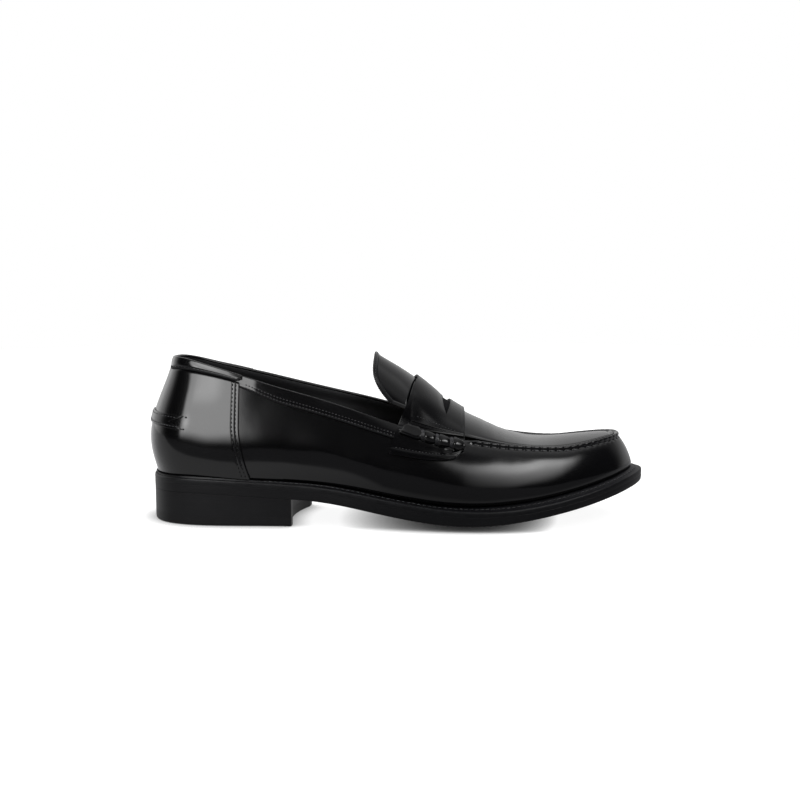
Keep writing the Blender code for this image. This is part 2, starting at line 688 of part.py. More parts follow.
def build_linings():
    """The quarter lining steps outwards above the heel counter."""
    strip("quarter_lining", const(-9.5), const(9.5), share_of_height(1.9), const(0.988),
          lambda station, height: -2.8 + 1.2 * smooth_step(height, 0.74, 0.86),
          LINING, LINER, 47, 7)
    strip("forepart_lining", const(9.6), const(STATIONS - 9.6), share_of_height(2.1),
          const(0.84), const(-2.6), LINING, LINER, 47, 5)


def build_stiffeners():
    strip("heel_counter", const(-4.5), const(4.5), share_of_height(1.9), const(0.70),
          const(-1.65), STIFF, BOARD, 29, 5)
    strip("toe_puff", const(TOE - 3), const(TOE + 3), share_of_height(2.3), const(0.80),
          const(-1.6), STIFF, BOARD, 21, 4, parent=toe_flex)


def build_heel_tab():
    """Band round the back of the heel with pointed notches in its ends."""
    def end(up):
        return 3.15 - 0.62 * (1 - np.abs(2 * up - 1)) ** 1.2

    def taper(station):
        return smooth_step(np.abs(station), 0.3, 3.1)

    strip("heel_tab", lambda up: -end(up), end, lambda station: 0.434 - 0.034 * taper(station),
          lambda station: 0.530 - 0.013 * taper(station), const(1.6), 1.6 - CLEAR - 0.05,
          UPPER, 27, 5)


# ---------------------------------------------------------------- upper: vamp and tongue
def bend_x(share):
    """Line across the vamp where the tongue leaves the apron, under the strap's rear edge."""
    return TONGUE_X + 1.2 - 10.5 * np.abs(2 * share - 1) ** 1.3


def tongue_rear(share):
    """Round rear outline of the tongue."""
    off_centre = np.abs(2 * share - 1)
    return 136.2 - 2.6 * off_centre ** 2 + 12.8 * off_centre ** 9


def build_vamp():
    leaf("apron_plug", lambda share: bend_x(share) + CLEAR, const(281.0), 2.1, 0.0, LEATHER,
         UPPER, 24, 13)
    leaf("vamp_lining", lambda share: bend_x(share) + 3.0, const(270.0), 7.0, -1.95, LINING,
         LINER, 14, 7)


def build_tongue():
    leaf("tongue", tongue_rear, bend_x, 3.6, 0.0, LEATHER, UPPER, 9, 13, spacing=even,
         parent=tongue_bend)
    leaf("tongue_lining", lambda share: tongue_rear(share) + 1.0,
         lambda share: bend_x(share) - 0.5, 4.6, -1.75, LINING, LINER, 7, 9, spacing=even,
         parent=tongue_bend)


# ---------------------------------------------------------------- saddle strap
STRAP_OUT = 2.1                         # strap's outer face above the form
STRAP_END = 0.03                        # girth share where the strap's end tabs stop
SLOT_TIP_X = 178.3                      # tips of the strap's slot
# Rear edge: girth share from the nearer end, x
STRAP_REAR = np.array([
    (0.0, 144.2), (0.02, 145.5), (0.105, 147.8), (0.193, 150.2), (0.258, 153.2),
    (0.307, 155.8), (0.352, 157.5), (0.408, 159.2), (0.475, 161.0), (0.5, 161.3)])
# Girth shares of the strap's grid rows, closer together at the tabs and over the slot
STRAP_AROUND = np.unique(np.concatenate([
    [STRAP_END, 0.034, 0.040, 0.050, 0.065], np.linspace(0.09, 0.345, 9),
    np.linspace(0.345, 0.655, 13), np.linspace(0.655, 0.91, 9),
    [0.935, 0.95, 0.96, 0.966, 1 - STRAP_END]]))


def build_saddle_strap():
    around = STRAP_AROUND
    from_end = np.minimum(around, 1 - around)
    rear = np.interp(from_end, STRAP_REAR[:, 0], STRAP_REAR[:, 1])
    corner = np.clip((0.16 - from_end) / 0.13, 0, 1)
    front = 189.4 - 9.0 * corner ** 8 - 7.0 * corner ** 1.3

    slot = np.clip(1 - ((around - 0.5) / 0.155) ** 2, 0, 1)
    slot_line = np.minimum(SLOT_TIP_X, rear + 0.72 * (front - rear))
    x = np.concatenate([np.linspace(rear, slot_line - 4.9 * slot, 5, axis=1),
                        np.linspace(slot_line - 0.6 * slot, front, 4, axis=1)], 1)
    holes = np.zeros((x.shape[0] - 1, x.shape[1] - 1), bool)
    holes[:, 4] = slot[:-1] + slot[1:] > 1e-9

    # The tabs' lower edges run lower towards the rear.
    drop = (0.027 * np.clip((173.5 - x) / 29.3, 0, 1)
            * (1 - smooth_step(from_end, 0.03, 0.15))[:, None])
    path = around[:, None] + np.where(around[:, None] < 0.5, -drop, drop)
    shell("saddle_strap", girth(x, path, STRAP_OUT), girth(x, path, STRAP_OUT - STRAP_LEATHER),
          UPPER, holes=holes)


# ---------------------------------------------------------------- beef rolls
ROLL_AROUND = 0.178                     # girth share of the rolls from each end
ROLL_REAR, ROLL_FRONT = 153.5, 189.0
ROLL_RADIUS, ROLL_WAIST = 2.9, 0.55     # radius, and how much a lashing draws it in
LASH_X = [164.8 + 8.4 * i for i in range(3)]
LASH_OFFSETS = np.array([-1.0, -0.5, 0.5, 1.0])
LASH_THICKNESS = np.array([0.7, 1.0, 1.0, 0.7])


def roll_around(side):
    return ROLL_AROUND if side == LATERAL else 1 - ROLL_AROUND


def roll_frame(x, side):
    """Base point on top of the strap below the seam, direction across the roll, normal."""
    around = roll_around(side)
    point = girth(x, around)
    across = unit(girth(x, around + 0.03) - girth(x, around - 0.03))
    normal = unit(girth(x, around, 1.0) - point)
    hump_in, hump_out = [((girth(x, around + step) - point) * normal).sum(-1)
                         for step in (0.04, -0.04)]
    hump = np.maximum(0, np.maximum(hump_in, hump_out))
    return point + normal * (STRAP_OUT + CLEAR + 0.1 + hump)[..., None], across, normal


def roll_radius(x):
    waist = sum(np.exp(-((x - lash_x) / 1.3) ** 2) for lash_x in LASH_X)
    middle, half = (ROLL_REAR + ROLL_FRONT) / 2, (ROLL_FRONT - ROLL_REAR) / 2 + 0.3
    rounding = np.clip(1 - ((x - middle) / half) ** 8, 0.08, 1) ** 0.5
    return (ROLL_RADIUS - ROLL_WAIST * waist) * rounding


def half_rounds(base, across, normal, radius):
    """One half-round section (7 points) standing on each base point."""
    angle = np.linspace(0, np.pi, 7)[None, :, None]
    radius = radius[:, None, None]
    return (base[:, None] + across[:, None] * (np.cos(angle) * radius * 1.05)
            + normal[:, None] * (np.sin(angle) * radius * 1.1))


def build_beef_roll(side_name, side):
    x = np.linspace(ROLL_REAR, ROLL_FRONT, 31)
    sections = half_rounds(*roll_frame(x, side), roll_radius(x))
    sweep("beef_roll_" + side_name, sections, UPPER, angle=50)


def build_lashing(name, x, side):
    """Thread band over the roll at x, following the slope of the strap."""
    base, across, normal = roll_frame(np.full(4, x), side)
    around = roll_around(side)
    slope = (girth(x + 2, around)[2] - girth(x - 2, around)[2]) / 4
    base = base + LASH_OFFSETS[:, None] * np.array([1, 0, slope])
    inner_radius = roll_radius(x + LASH_OFFSETS[[0, -1]]).max() + CLEAR + 0.05
    outer, inner = [half_rounds(base, across, normal, inner_radius + grow).swapaxes(0, 1)
                    for grow in (LASH_THICKNESS, 0 * LASH_THICKNESS)]
    shell(name, outer, inner, THREAD, angle=50)


# ---------------------------------------------------------------- assembly
build_heel()
build_outsole()
build_welts()
build_cork()
build_insoles()
build_heel_sock()
build_shank()
build_side_wall()
build_rear_collar()
build_linings()
build_stiffeners()
build_vamp()
build_tongue()
build_saddle_strap()
for side_name, side in SIDES:
    build_counter(side_name, side)
    build_front_collar(side_name, side)
    build_beef_roll(side_name, side)
    for number, lash_x in enumerate(LASH_X, 1):
        build_lashing("lashing_%s_%d" % (side_name, number), lash_x, side)
build_heel_tab()
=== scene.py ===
"""Black penny loafer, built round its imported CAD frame: sole and heel, leather upper, saddle strap
with beef rolls, linings and stitches, in procedural materials, on a lit floor.

Every leather layer is a patch of a form surface: wall() from the feather line up to the topline or
moccasin seam, vamp() over the instep, girth() across both. Lengths are millimetres until place()
turns them into metres. x runs from heel to toe, y from the outer (lateral) side to the inner
(medial) side, z up. Names used throughout:
  way    station round the shoe: 0 back of heel, 18 toe tip, 36 the heel again along the inner side
  high   share of the wall's height, 0 at the feather line, 1 at the topline or seam
  drop   distance below the topline, measured along the leather
  share  share of the way across, 0 on the outer side, 1 on the inner side
  out    offset outwards along the surface normal
"""
import json
import math
import bmesh
import bpy
import numpy as np
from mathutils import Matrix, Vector
from mathutils.kdtree import KDTree


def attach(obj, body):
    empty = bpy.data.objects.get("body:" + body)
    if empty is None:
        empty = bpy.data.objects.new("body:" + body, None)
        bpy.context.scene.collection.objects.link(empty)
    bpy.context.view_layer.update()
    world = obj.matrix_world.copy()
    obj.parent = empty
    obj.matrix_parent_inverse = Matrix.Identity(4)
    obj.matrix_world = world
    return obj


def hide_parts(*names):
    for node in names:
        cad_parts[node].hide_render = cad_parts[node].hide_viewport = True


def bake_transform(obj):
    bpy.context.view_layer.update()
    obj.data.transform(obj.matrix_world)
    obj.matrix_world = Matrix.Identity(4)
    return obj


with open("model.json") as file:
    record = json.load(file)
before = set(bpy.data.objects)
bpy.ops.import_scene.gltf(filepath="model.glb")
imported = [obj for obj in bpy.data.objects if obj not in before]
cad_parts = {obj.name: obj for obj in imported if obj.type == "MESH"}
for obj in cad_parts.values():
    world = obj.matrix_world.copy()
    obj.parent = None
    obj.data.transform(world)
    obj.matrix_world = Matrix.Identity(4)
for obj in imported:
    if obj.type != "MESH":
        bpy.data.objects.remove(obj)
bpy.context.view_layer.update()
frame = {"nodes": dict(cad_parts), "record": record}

CENTRE = (149.12, -1.354, 0.0)          # shoe point that lies at the scene's origin
FLEX_X, FLEX_Z = (196, 236), 19.4       # the forepart bends between these
TONGUE_X, TONGUE_Z = (164, 149), 84.4   # the tongue bends between these
LEATHER, LINING = 1.3, 0.8              # thicknesses
COLLAR = 9.4                            # depth of the collar strip
WELT_T = 3.4                            # welt thickness
BREAST_LAT, BREAST_MED, BREAST_BOW = 87.0, 94.0, 4.5   # front of the heel, by side, and its hollow
HEEL_TOP_PIECE = 5.4                    # thickness of the heel's rubber
LASH_X = (164.8, 173.2, 181.6)
ROLL_START, ROLL_END = 153.0, 189.6
STRAP_OUT = 2.1                         # height of the strap's face over the form
STRAP_LOW = 0.03                        # girth share of the strap's lower end
STRAP_SLOT_X = 178.3
SLOT_BACK, SLOT_FORE = 2.3, 2.7         # half widths of the strap's slot, heel side and toe side
APRON_INSET = 3.4                       # tongue's rim, in from the seam
HALF = 18.0
ROUND = 2 * HALF
rng = np.random.default_rng(7)


# ---------------------------------------------------------------- curves
def natural_spline(x_knots, y_knots):
    """Natural cubic spline through the knots, straight beyond its ends."""
    knots, levels = np.array(x_knots, float), np.array(y_knots, float)
    count, gap = len(knots), np.diff(knots)
    slope = np.diff(levels) / gap
    matrix, right = np.zeros((count, count)), np.zeros(count)
    matrix[0, 0] = matrix[-1, -1] = 1.0
    for i in range(1, count - 1):
        matrix[i, i - 1:i + 2] = gap[i - 1], 2 * (gap[i - 1] + gap[i]), gap[i]
        right[i] = 6 * (slope[i] - slope[i - 1])
    bend = np.linalg.solve(matrix, right)
    first = slope[0] - gap[0] * (2 * bend[0] + bend[1]) / 6
    last = slope[-1] + gap[-1] * (2 * bend[-1] + bend[-2]) / 6

    def curve(x):
        x = np.asarray(x, float)
        inside = np.clip(x, knots[0], knots[-1])
        i = np.clip(np.searchsorted(knots, inside) - 1, 0, count - 2)
        after, before = knots[i + 1] - inside, inside - knots[i]
        y = (bend[i] * after ** 3 + bend[i + 1] * before ** 3) / (6 * gap[i]) \
            + (levels[i] / gap[i] - bend[i] * gap[i] / 6) * after \
            + (levels[i + 1] / gap[i] - bend[i + 1] * gap[i] / 6) * before
        return y + np.minimum(x - knots[0], 0) * first + np.maximum(x - knots[-1], 0) * last
    return curve


def loop_curve(lateral, medial=None):
    """Periodic cubic spline by way. Both lists of station values run from heel to toe."""
    medial = lateral if medial is None else medial
    values = np.array(list(lateral) + list(medial[-2:0:-1]), float)
    count = len(values)
    matrix = np.zeros((count, count))
    for i in range(count):
        matrix[i, i], matrix[i, i - 1], matrix[i, (i + 1) % count] = 4, 1, 1
    bend = np.linalg.solve(matrix, 6 * (np.roll(values, -1) - 2 * values + np.roll(values, 1)))

    def curve(way):
        way = np.mod(np.asarray(way, float), count)
        i = np.floor(way).astype(int) % count
        j = (i + 1) % count
        to = way - np.floor(way)
        back = 1 - to
        return (bend[i] * (back ** 3 - back) / 6 + bend[j] * (to ** 3 - to) / 6
                + values[i] * back + values[j] * to)
    return curve


def arrays(*values):
    return np.broadcast_arrays(*(np.asarray(value, float) for value in values))


def unit(vectors):
    return vectors / np.maximum(np.linalg.norm(vectors, axis=-1, keepdims=True), 1e-12)


def mix(first, second, share):
    return first * (1 - share) + second * share


def smooth(x, start, end):
    to = np.clip((np.asarray(x, float) - start) / (end - start), 0, 1)
    return to * to * (3 - 2 * to)


def bell(x, width):
    return np.exp(-(np.asarray(x, float) / width) ** 2)


def graded(count, amount=0.4):
    """0 to 1 in steps that tighten at both ends, by amount."""
    even = np.linspace(0, 1, count)
    return (1 - np.cos(np.pi * even)) / 2 * amount + even * (1 - amount)


def start_graded(count, amount=0.6):
    """0 to 1 in steps that tighten at the start, by amount."""
    even = np.linspace(0, 1, count)
    return (1 - np.cos(np.pi / 2 * even)) * amount + even * (1 - amount)


# ---------------------------------------------------------------- shoe form
# tables by station, heel to toe, 19 values each; LAT is the outer side, MED the inner side
# outsole plan
SOLE_X = [0, 2.0, 8, 18, 33, 52, 74, 97, 120, 143, 166, 190, 213, 235, 255, 272, 286, 295.7, 300]
SOLE_Y_LAT = [0, -11.5, -22.3, -29.8, -34.2, -35.6, -35.8, -37.2, -40.6, -45.3, -49.6, -52.2,
              -51.8, -48.3, -42.2, -34, -23.5, -10.7, 4]
SOLE_Y_MED = [0, 11.5, 22.3, 29.5, 33.5, 34.3, 33.0, 30.2, 28.8, 30.6, 36.2, 43.6,
              48.6, 49.6, 46.8, 41, 32, 19.5, 4]
# topline and moccasin seam
TOP_X = [13.2, 14.6, 18.3, 26.5, 39, 56, 77, 99, 121, 143, 165, 189,
         211, 231, 248, 261.5, 272.5, 280.3, 283]
TOP_Y_LAT = [0, -8.8, -15.8, -20.8, -24.2, -26.7, -28.7, -30.5, -32.2, -34.3, -36.2, -36.2,
             -34.6, -31.6, -27.6, -22.2, -15.2, -6.2, 4]
TOP_Y_MED = [0, 8.8, 15.8, 20.8, 24.2, 26.7, 28.5, 30.0, 31.2, 32.2, 33.2, 34.2,
             34.6, 34.0, 32.0, 28.4, 22.6, 14.0, 4]
TOP_Z_LAT = [98.6, 98.9, 99.4, 98.2, 94.8, 89.8, 83.2, 77.2, 70.4, 63.0, 56.8, 52.6,
             49.2, 47.3, 46.7, 48.0, 49.9, 51.0, 51.3]
TOP_Z_MED = [98.6, 98.5, 97.8, 95.8, 92.4, 88.2, 83.0, 77.6, 72.4, 66.8, 60.0, 53.6,
             48.6, 45.5, 45.0, 46.8, 49.0, 50.7, 51.3]
# welt projection beyond the feather line, and rise of its top towards the upper
WELT = [1.7, 1.7, 1.8, 1.9, 2.0, 2.1, 2.4, 2.8, 3.4, 4.0, 4.6, 5.0, 5.2, 5.2, 5.3, 5.4, 5.7, 6.2,
        6.6]
RISE = [1.8, 1.8, 1.8, 1.8, 1.8, 1.7, 1.6, 1.6, 1.5, 1.4, 1.5, 2.0, 2.7, 3.0, 3.1, 3.1, 3.1, 3.1,
        3.1]
# fullness of the wall, and the two powers that shape its bulge from below and from above
FULL_LAT = [7.2, 6.9, 6.2, 5.3, 4.6, 4.4, 4.6, 5.0, 5.6, 6.4, 7.0, 7.2,
            6.9, 6.2, 5.4, 4.5, 3.4, 2.7, 2.5]
FULL_MED = [7.2, 6.9, 6.2, 5.3, 4.6, 4.2, 3.8, 3.6, 3.8, 4.6, 6.0, 7.2,
            7.6, 7.2, 6.2, 5.0, 3.7, 2.8, 2.5]
POWER_LOW = [1.2, 1.2, 1.15, 1.05, 0.95, 0.88, 0.85, 0.85, 0.85, 0.82, 0.8, 0.78,
             0.76, 0.74, 0.72, 0.7, 0.66, 0.62, 0.6]
POWER_HIGH = [1.9, 1.9, 1.8, 1.6, 1.4, 1.25, 1.15, 1.05, 0.95, 0.88, 0.8, 0.72,
              0.66, 0.6, 0.56, 0.52, 0.5, 0.47, 0.45]
sole_x, sole_y = loop_curve(SOLE_X), loop_curve(SOLE_Y_LAT, SOLE_Y_MED)
top_x, top_y = loop_curve(TOP_X), loop_curve(TOP_Y_LAT, TOP_Y_MED)
top_z = loop_curve(TOP_Z_LAT, TOP_Z_MED)
welt_width, welt_rise, fullness = loop_curve(WELT), loop_curve(RISE), loop_curve(FULL_LAT, FULL_MED)
power_low, power_high = loop_curve(POWER_LOW), loop_curve(POWER_HIGH)
# by x: height of the welt's outer edge, thickness of the edge below it, height of the instep's ridge
edge_z = natural_spline(
    [0, 25, 50, 70, 90, 105, 123, 141, 159, 177, 195, 213, 231, 249, 268, 281, 290, 300],
    [27.4, 28.1, 27.3, 26.1, 25.0, 23.8, 21.4, 18.3, 15.4, 13.1, 12.2, 12.7, 14.7, 17.9, 22.2,
     25.6, 28.0, 30.2])
edge_thickness = natural_spline([0, 60, 100, 150, 175, 200, 225, 250, 300],
                                [8.6, 8.8, 9.2, 9.8, 9.5, 8.9, 8.0, 7.7, 7.7])
ridge_z = natural_spline(
    [128, 136.5, 141, 151, 162, 174, 182, 189, 193, 200, 208, 215, 223, 230, 237, 247, 256, 268,
     276, 283],
    [105.6, 100.6, 97.8, 91.8, 84.2, 74.4, 69.4, 65.2, 63.0, 59.8, 56.0, 53.0, 50.6, 49.0, 48.5,
     48.9, 49.7, 50.8, 51.4, 51.3])


def plan_normal(curve_x, curve_y, way, step=0.02):
    """Outward unit normal, in plan, of a closed curve."""
    across_x = curve_x(way + step) - curve_x(way - step)
    across_y = curve_y(way + step) - curve_y(way - step)
    length = np.hypot(across_x, across_y)
    return across_y / length, -across_x / length


def outline(way, inset):
    """Plan position on the outsole's outline, moved inwards by inset."""
    normal_x, normal_y = plan_normal(sole_x, sole_y, way)
    return sole_x(way) - inset * normal_x, sole_y(way) - inset * normal_y


def feather(way):
    x, y = outline(way, welt_width(way))
    return x, y, edge_z(x) + welt_rise(way)


def bare_wall(way, high):
    way, high = arrays(way, high)
    low_x, low_y, low_z = feather(way)
    sole_nx, sole_ny = plan_normal(sole_x, sole_y, way)
    top_nx, top_ny = plan_normal(top_x, top_y, way)
    normal_x, normal_y = sole_nx + top_nx, sole_ny + top_ny
    length = np.hypot(normal_x, normal_y)
    low, top, inside = power_low(way), power_high(way), np.clip(high, 0.0, 1.0)
    peak = low / (low + top)
    bulge = fullness(way) * (inside ** low * (1 - inside) ** top) \
        / (peak ** low * (1 - peak) ** top)
    return np.stack([low_x + (top_x(way) - low_x) * high + normal_x / length * bulge,
                     low_y + (top_y(way) - low_y) * high + normal_y / length * bulge,
                     low_z + (top_z(way) - low_z) * high], -1)


def wall(way, high, out=0.0):
    way, high, out = arrays(way, high, out)
    mid = np.clip(high, 0.04, 0.96)
    normal = unit(np.cross(bare_wall(way + .05, mid) - bare_wall(way - .05, mid),
                           bare_wall(way, mid + .03) - bare_wall(way, mid - .03)))
    return bare_wall(way, high) + normal * out[..., None]


# seam line by x; side -1 outer, +1 inner
HALF_WAYS = np.linspace(0, HALF, 721)
SEAM_LINE = {side: [curve(HALF_WAYS if side < 0 else ROUND - HALF_WAYS)
                    for curve in (top_x, top_y, top_z)] for side in (-1, 1)}


def seam(x, side):
    """(y, z) of the seam or topline at x."""
    line_x, line_y, line_z = SEAM_LINE[side]
    return np.interp(x, line_x, line_y), np.interp(x, line_x, line_z)


def seam_way(x, side):
    way = np.interp(x, SEAM_LINE[side][0], HALF_WAYS)
    return way if side < 0 else ROUND - way


def bare_vamp(x, share):
    x, share = arrays(x, share)
    (y_lat, z_lat), (y_med, z_med) = seam(x, -1), seam(x, 1)
    tuck = np.clip((158 - x) / 22.0, 0, 1)      # behind the strap it tucks inside the quarters
    y_lat, y_med = y_lat + tuck * 4.0, y_med - tuck * 3.0
    z_lat, z_med = z_lat - tuck * 4.0, z_med - tuck * 5.0
    across = (1 - np.cos(np.pi * share)) / 2
    power = np.interp(x, [130, 160, 190, 215, 245], [.56, .60, .68, .85, 1.0])
    cap = np.power(np.clip(1 - (2 * across - 1) ** 2, 0, 1), power)
    return np.stack([x, y_lat + (y_med - y_lat) * across,
                     z_lat + (z_med - z_lat) * across
                     + (ridge_z(x) - (z_lat + z_med) / 2) * cap], -1)


def vamp(x, share, out=0.0):
    x, share, out = arrays(x, share, out)
    mid, mid_x = np.clip(share, .03, .97), np.clip(x, 120, 281.5)
    normal = unit(np.cross(bare_vamp(mid_x + .4, mid) - bare_vamp(mid_x - .4, mid),
                           bare_vamp(mid_x, mid + .01) - bare_vamp(mid_x, mid - .01)))
    return bare_vamp(x, share) + normal * out[..., None]


# girth: path of a strap lying over the wall, the seam and the instep, tabled by x
GIRTH_X = np.linspace(138, 200, 32)
GIRTH_START = 0.60                       # height share where the path starts on each wall


def girth_row(x):
    highs = np.linspace(GIRTH_START, 1.0, 21)[:-1]
    lateral, medial = (wall(seam_way(x, side), highs) for side in (-1, 1))
    lateral[:, 0] = medial[:, 0] = x
    row = np.concatenate([lateral, bare_vamp(x, np.linspace(0, 1, 61)), medial[::-1]])
    for _ in range(3):                   # leather rounds over the edge instead of creasing on it
        eased = row.copy()
        eased[1:-1] = row[1:-1] * .5 + (row[:-2] + row[2:]) * .25
        row = eased
    return row


GIRTH = np.array([girth_row(x) for x in GIRTH_X])


def bare_girth(x, share):
    x, share = arrays(x, share)
    row = np.clip((x - GIRTH_X[0]) / (GIRTH_X[1] - GIRTH_X[0]), 0, len(GIRTH_X) - 1.001)
    column = np.clip(share * (GIRTH.shape[1] - 1), 0, GIRTH.shape[1] - 1.001)
    i, j = row.astype(int), column.astype(int)
    past_i, past_j = (row - i)[..., None], (column - j)[..., None]
    return mix(mix(GIRTH[i, j], GIRTH[i + 1, j], past_i),
               mix(GIRTH[i, j + 1], GIRTH[i + 1, j + 1], past_i), past_j)


def girth(x, share, out=0.0):
    x, share, out = arrays(x, share, out)
    mid_x, mid = np.clip(x, 140.5, 197.5), np.clip(share, .02, .98)
    normal = unit(np.cross(bare_girth(mid_x + 2, mid) - bare_girth(mid_x - 2, mid),
                           bare_girth(mid_x, mid + .02) - bare_girth(mid_x, mid - .02)))
    return bare_girth(x, share) + normal * out[..., None]


def with_normals(surface, first, second, out, *more):
    """Points of a form surface, and their outward unit normals."""
    points = surface(first, second, out, *more)
    return points, unit(surface(first, second, out + 1, *more) - points)


def place(points):
    """Shoe millimetres to scene metres."""
    return (np.asarray(points, float).reshape(-1, 3) - CENTRE) / 1000


# ---------------------------------------------------------------- shader graphs
class Graph:
    """Node tree of a material or world. Any input takes a value or another node's output."""

    def __init__(self, owner, clear=True):
        owner.use_nodes = True
        self.tree = owner.node_tree
        if clear:
            self.tree.nodes.clear()

    def feed(self, socket, value):
        if hasattr(value, "links"):
            self.tree.links.new(value, socket)
        else:
            socket.default_value = value

    def node(self, kind, **values):
        """New node; values are its inputs (with _ for a space) or its settings."""
        node = self.tree.nodes.new("ShaderNode" + kind)
        for name, value in values.items():
            socket = name.replace("_", " ")
            if socket in node.inputs:
                self.feed(node.inputs[socket], value)
            else:
                setattr(node, name, value)
        return node

    def apply(self, kind, *operands, output=0, **values):
        """Output of a new node whose first inputs are the operands."""
        node = self.node(kind, **values)
        for socket, operand in zip(node.inputs, operands):
            self.feed(socket, operand)
        return node.outputs[output]

    def calc(self, operation, *operands):
        return self.apply("Math", *operands, operation=operation)

    def remap(self, value, source=(0.0, 1.0), to=(0.0, 1.0), soft=False):
        return self.apply("MapRange", output="Result", Value=value,
                          interpolation_type="SMOOTHSTEP" if soft else "LINEAR",
                          From_Min=source[0], From_Max=source[1], To_Min=to[0], To_Max=to[1])

    def distance(self, position, spot):
        return self.apply("VectorMath", position, spot, output="Value", operation="DISTANCE")

    def ramp(self, factor, stops):
        """Colour ramp through (position, colour) stops."""
        node = self.node("ValToRGB", Fac=factor)
        elements = node.color_ramp.elements
        while len(elements) < len(stops):
            elements.new(0.5)
        for k, (position, colour) in enumerate(stops):
            elements[k].position, elements[k].color = position, (*colour, 1)
        return node.outputs["Color"]


class Material(Graph):
    """Principled material with textures in object space."""

    def __init__(self, name):
        self.material = bpy.data.materials.new(name)
        super().__init__(self.material, clear=False)
        self.coords = self.node("TexCoord").outputs["Object"]

    def stretched(self, stretch):
        return self.apply("Mapping", output="Vector", Scale=stretch, Vector=self.coords)

    def noise(self, scale, detail, stretch=None):
        coords = self.stretched(stretch) if stretch else self.coords
        return self.apply("TexNoise", output="Fac", Scale=scale, Detail=detail, Vector=coords)

    def cells(self, scale, feature="DISTANCE_TO_EDGE"):
        return self.apply("TexVoronoi", output="Distance", feature=feature, Scale=scale,
                          Vector=self.coords)

    def mottle(self, scale, detail, dark, light, start=0.3, end=0.7):
        """Cloudy blend of two colours."""
        return self.ramp(self.noise(scale, detail), [(start, dark), (end, light)])

    def bump(self, height, strength, distance, under=None):
        below = {} if under is None else {"Normal": under}
        return self.apply("Bump", output="Normal", Strength=strength, Distance=distance,
                          Height=height, **below)

    def finish(self, **inputs):
        shader = self.tree.nodes["Principled BSDF"]
        for name, value in inputs.items():
            self.feed(shader.inputs[name.replace("_", " ")], value)
        return self.material


# ---------------------------------------------------------------- materials
def polished_leather(name="polished_leather", gloss=1.0, blur=0.10, dull_spots=()):
    """dull_spots: places (points in mm) where the coat is thinner."""
    mat = Material(name)
    for spot in dull_spots:
        away = mat.distance(mat.coords, place(spot)[0].tolist())
        near = mat.remap(away, source=(0.007, 0.018), to=(0.20, 1.0), soft=True)
        gloss = mat.calc("MULTIPLY", near, gloss)
    waves = mat.bump(mat.noise(scale=55, detail=2), strength=0.10, distance=0.0008)
    pores = mat.bump(mat.cells(scale=1500), strength=0.035, distance=0.00006, under=waves)
    grain = mat.bump(mat.noise(scale=2600, detail=2), strength=0.05, distance=0.00004, under=pores)
    return mat.finish(
        Base_Color=mat.mottle(scale=38, detail=3, dark=(0.0010, 0.0010, 0.0013),
                              light=(0.0020, 0.0020, 0.0025)),
        Roughness=mat.remap(mat.noise(scale=90, detail=4), to=(0.24, 0.32)),
        Specular_IOR_Level=0.05, Coat_Weight=gloss, Coat_Roughness=blur, Coat_IOR=1.45,
        Normal=grain, Coat_Normal=waves)


def grained(name, grain, colour, roughness, strength, distance, **inputs):
    """Mottled material whose one fine grain drives both roughness and bump.
    grain and colour: arguments of noise() and mottle(); strength, distance: of the bump."""
    mat = Material(name)
    fibre = mat.noise(**grain)
    return mat.finish(Base_Color=mat.mottle(**colour), Roughness=mat.remap(fibre, to=roughness),
                      Normal=mat.bump(fibre, strength, distance), **inputs)


def dark_edge(name="dark_skived_edge", sheen=0.16):
    return grained(name, dict(scale=1800, detail=3),
                   dict(scale=120, detail=3, dark=(0.0016, 0.0016, 0.0020),
                        light=(0.0035, 0.0035, 0.0040)),
                   roughness=(0.5, 0.65), strength=0.18, distance=0.00008,
                   Specular_IOR_Level=sheen)


def edge_leather():
    return grained("waxed_leather_edge", dict(scale=1800, detail=3, stretch=(1, 1, 2.5)),
                   dict(scale=120, detail=3, dark=(0.005, 0.005, 0.006),
                        light=(0.011, 0.011, 0.012)),
                   roughness=(0.42, 0.6), strength=0.18, distance=0.00008, Specular_IOR_Level=0.4)


def rubber():
    return grained("heel_rubber", dict(scale=2200, detail=2),
                   dict(scale=200, detail=3, dark=(0.0032, 0.0032, 0.0038),
                        light=(0.0062, 0.0062, 0.0068)),
                   roughness=(0.38, 0.50), strength=0.10, distance=0.00008,
                   Specular_IOR_Level=0.19)


def sole_underside():
    return grained("sole_underside", dict(scale=700, detail=5, stretch=(0.6, 1, 1)),
                   dict(scale=70, detail=5, dark=(0.010, 0.010, 0.011),
                        light=(0.022, 0.021, 0.021), end=0.75),
                   roughness=(0.5, 0.7), strength=0.2, distance=0.00015, Specular_IOR_Level=0.35)


def insole_leather():
    return grained("insole_leather", dict(scale=700, detail=5),
                   dict(scale=80, detail=5, dark=(0.030, 0.022, 0.015),
                        light=(0.055, 0.040, 0.026), end=0.75),
                   roughness=(0.6, 0.75), strength=0.15, distance=0.0001)


def lining_leather():
    mat = Material("lining_leather")
    fibre = mat.noise(scale=900, detail=4)
    fine = mat.bump(fibre, strength=0.1, distance=0.0001)
    return mat.finish(
        Base_Color=mat.mottle(scale=60, detail=4, dark=(0.0035, 0.0035, 0.0042),
                              light=(0.0070, 0.0070, 0.0080), end=0.75),
        Roughness=mat.remap(fibre, to=(0.44, 0.58)), Specular_IOR_Level=0.30,
        Normal=mat.bump(mat.cells(scale=1300), strength=0.12, distance=0.0001, under=fine))


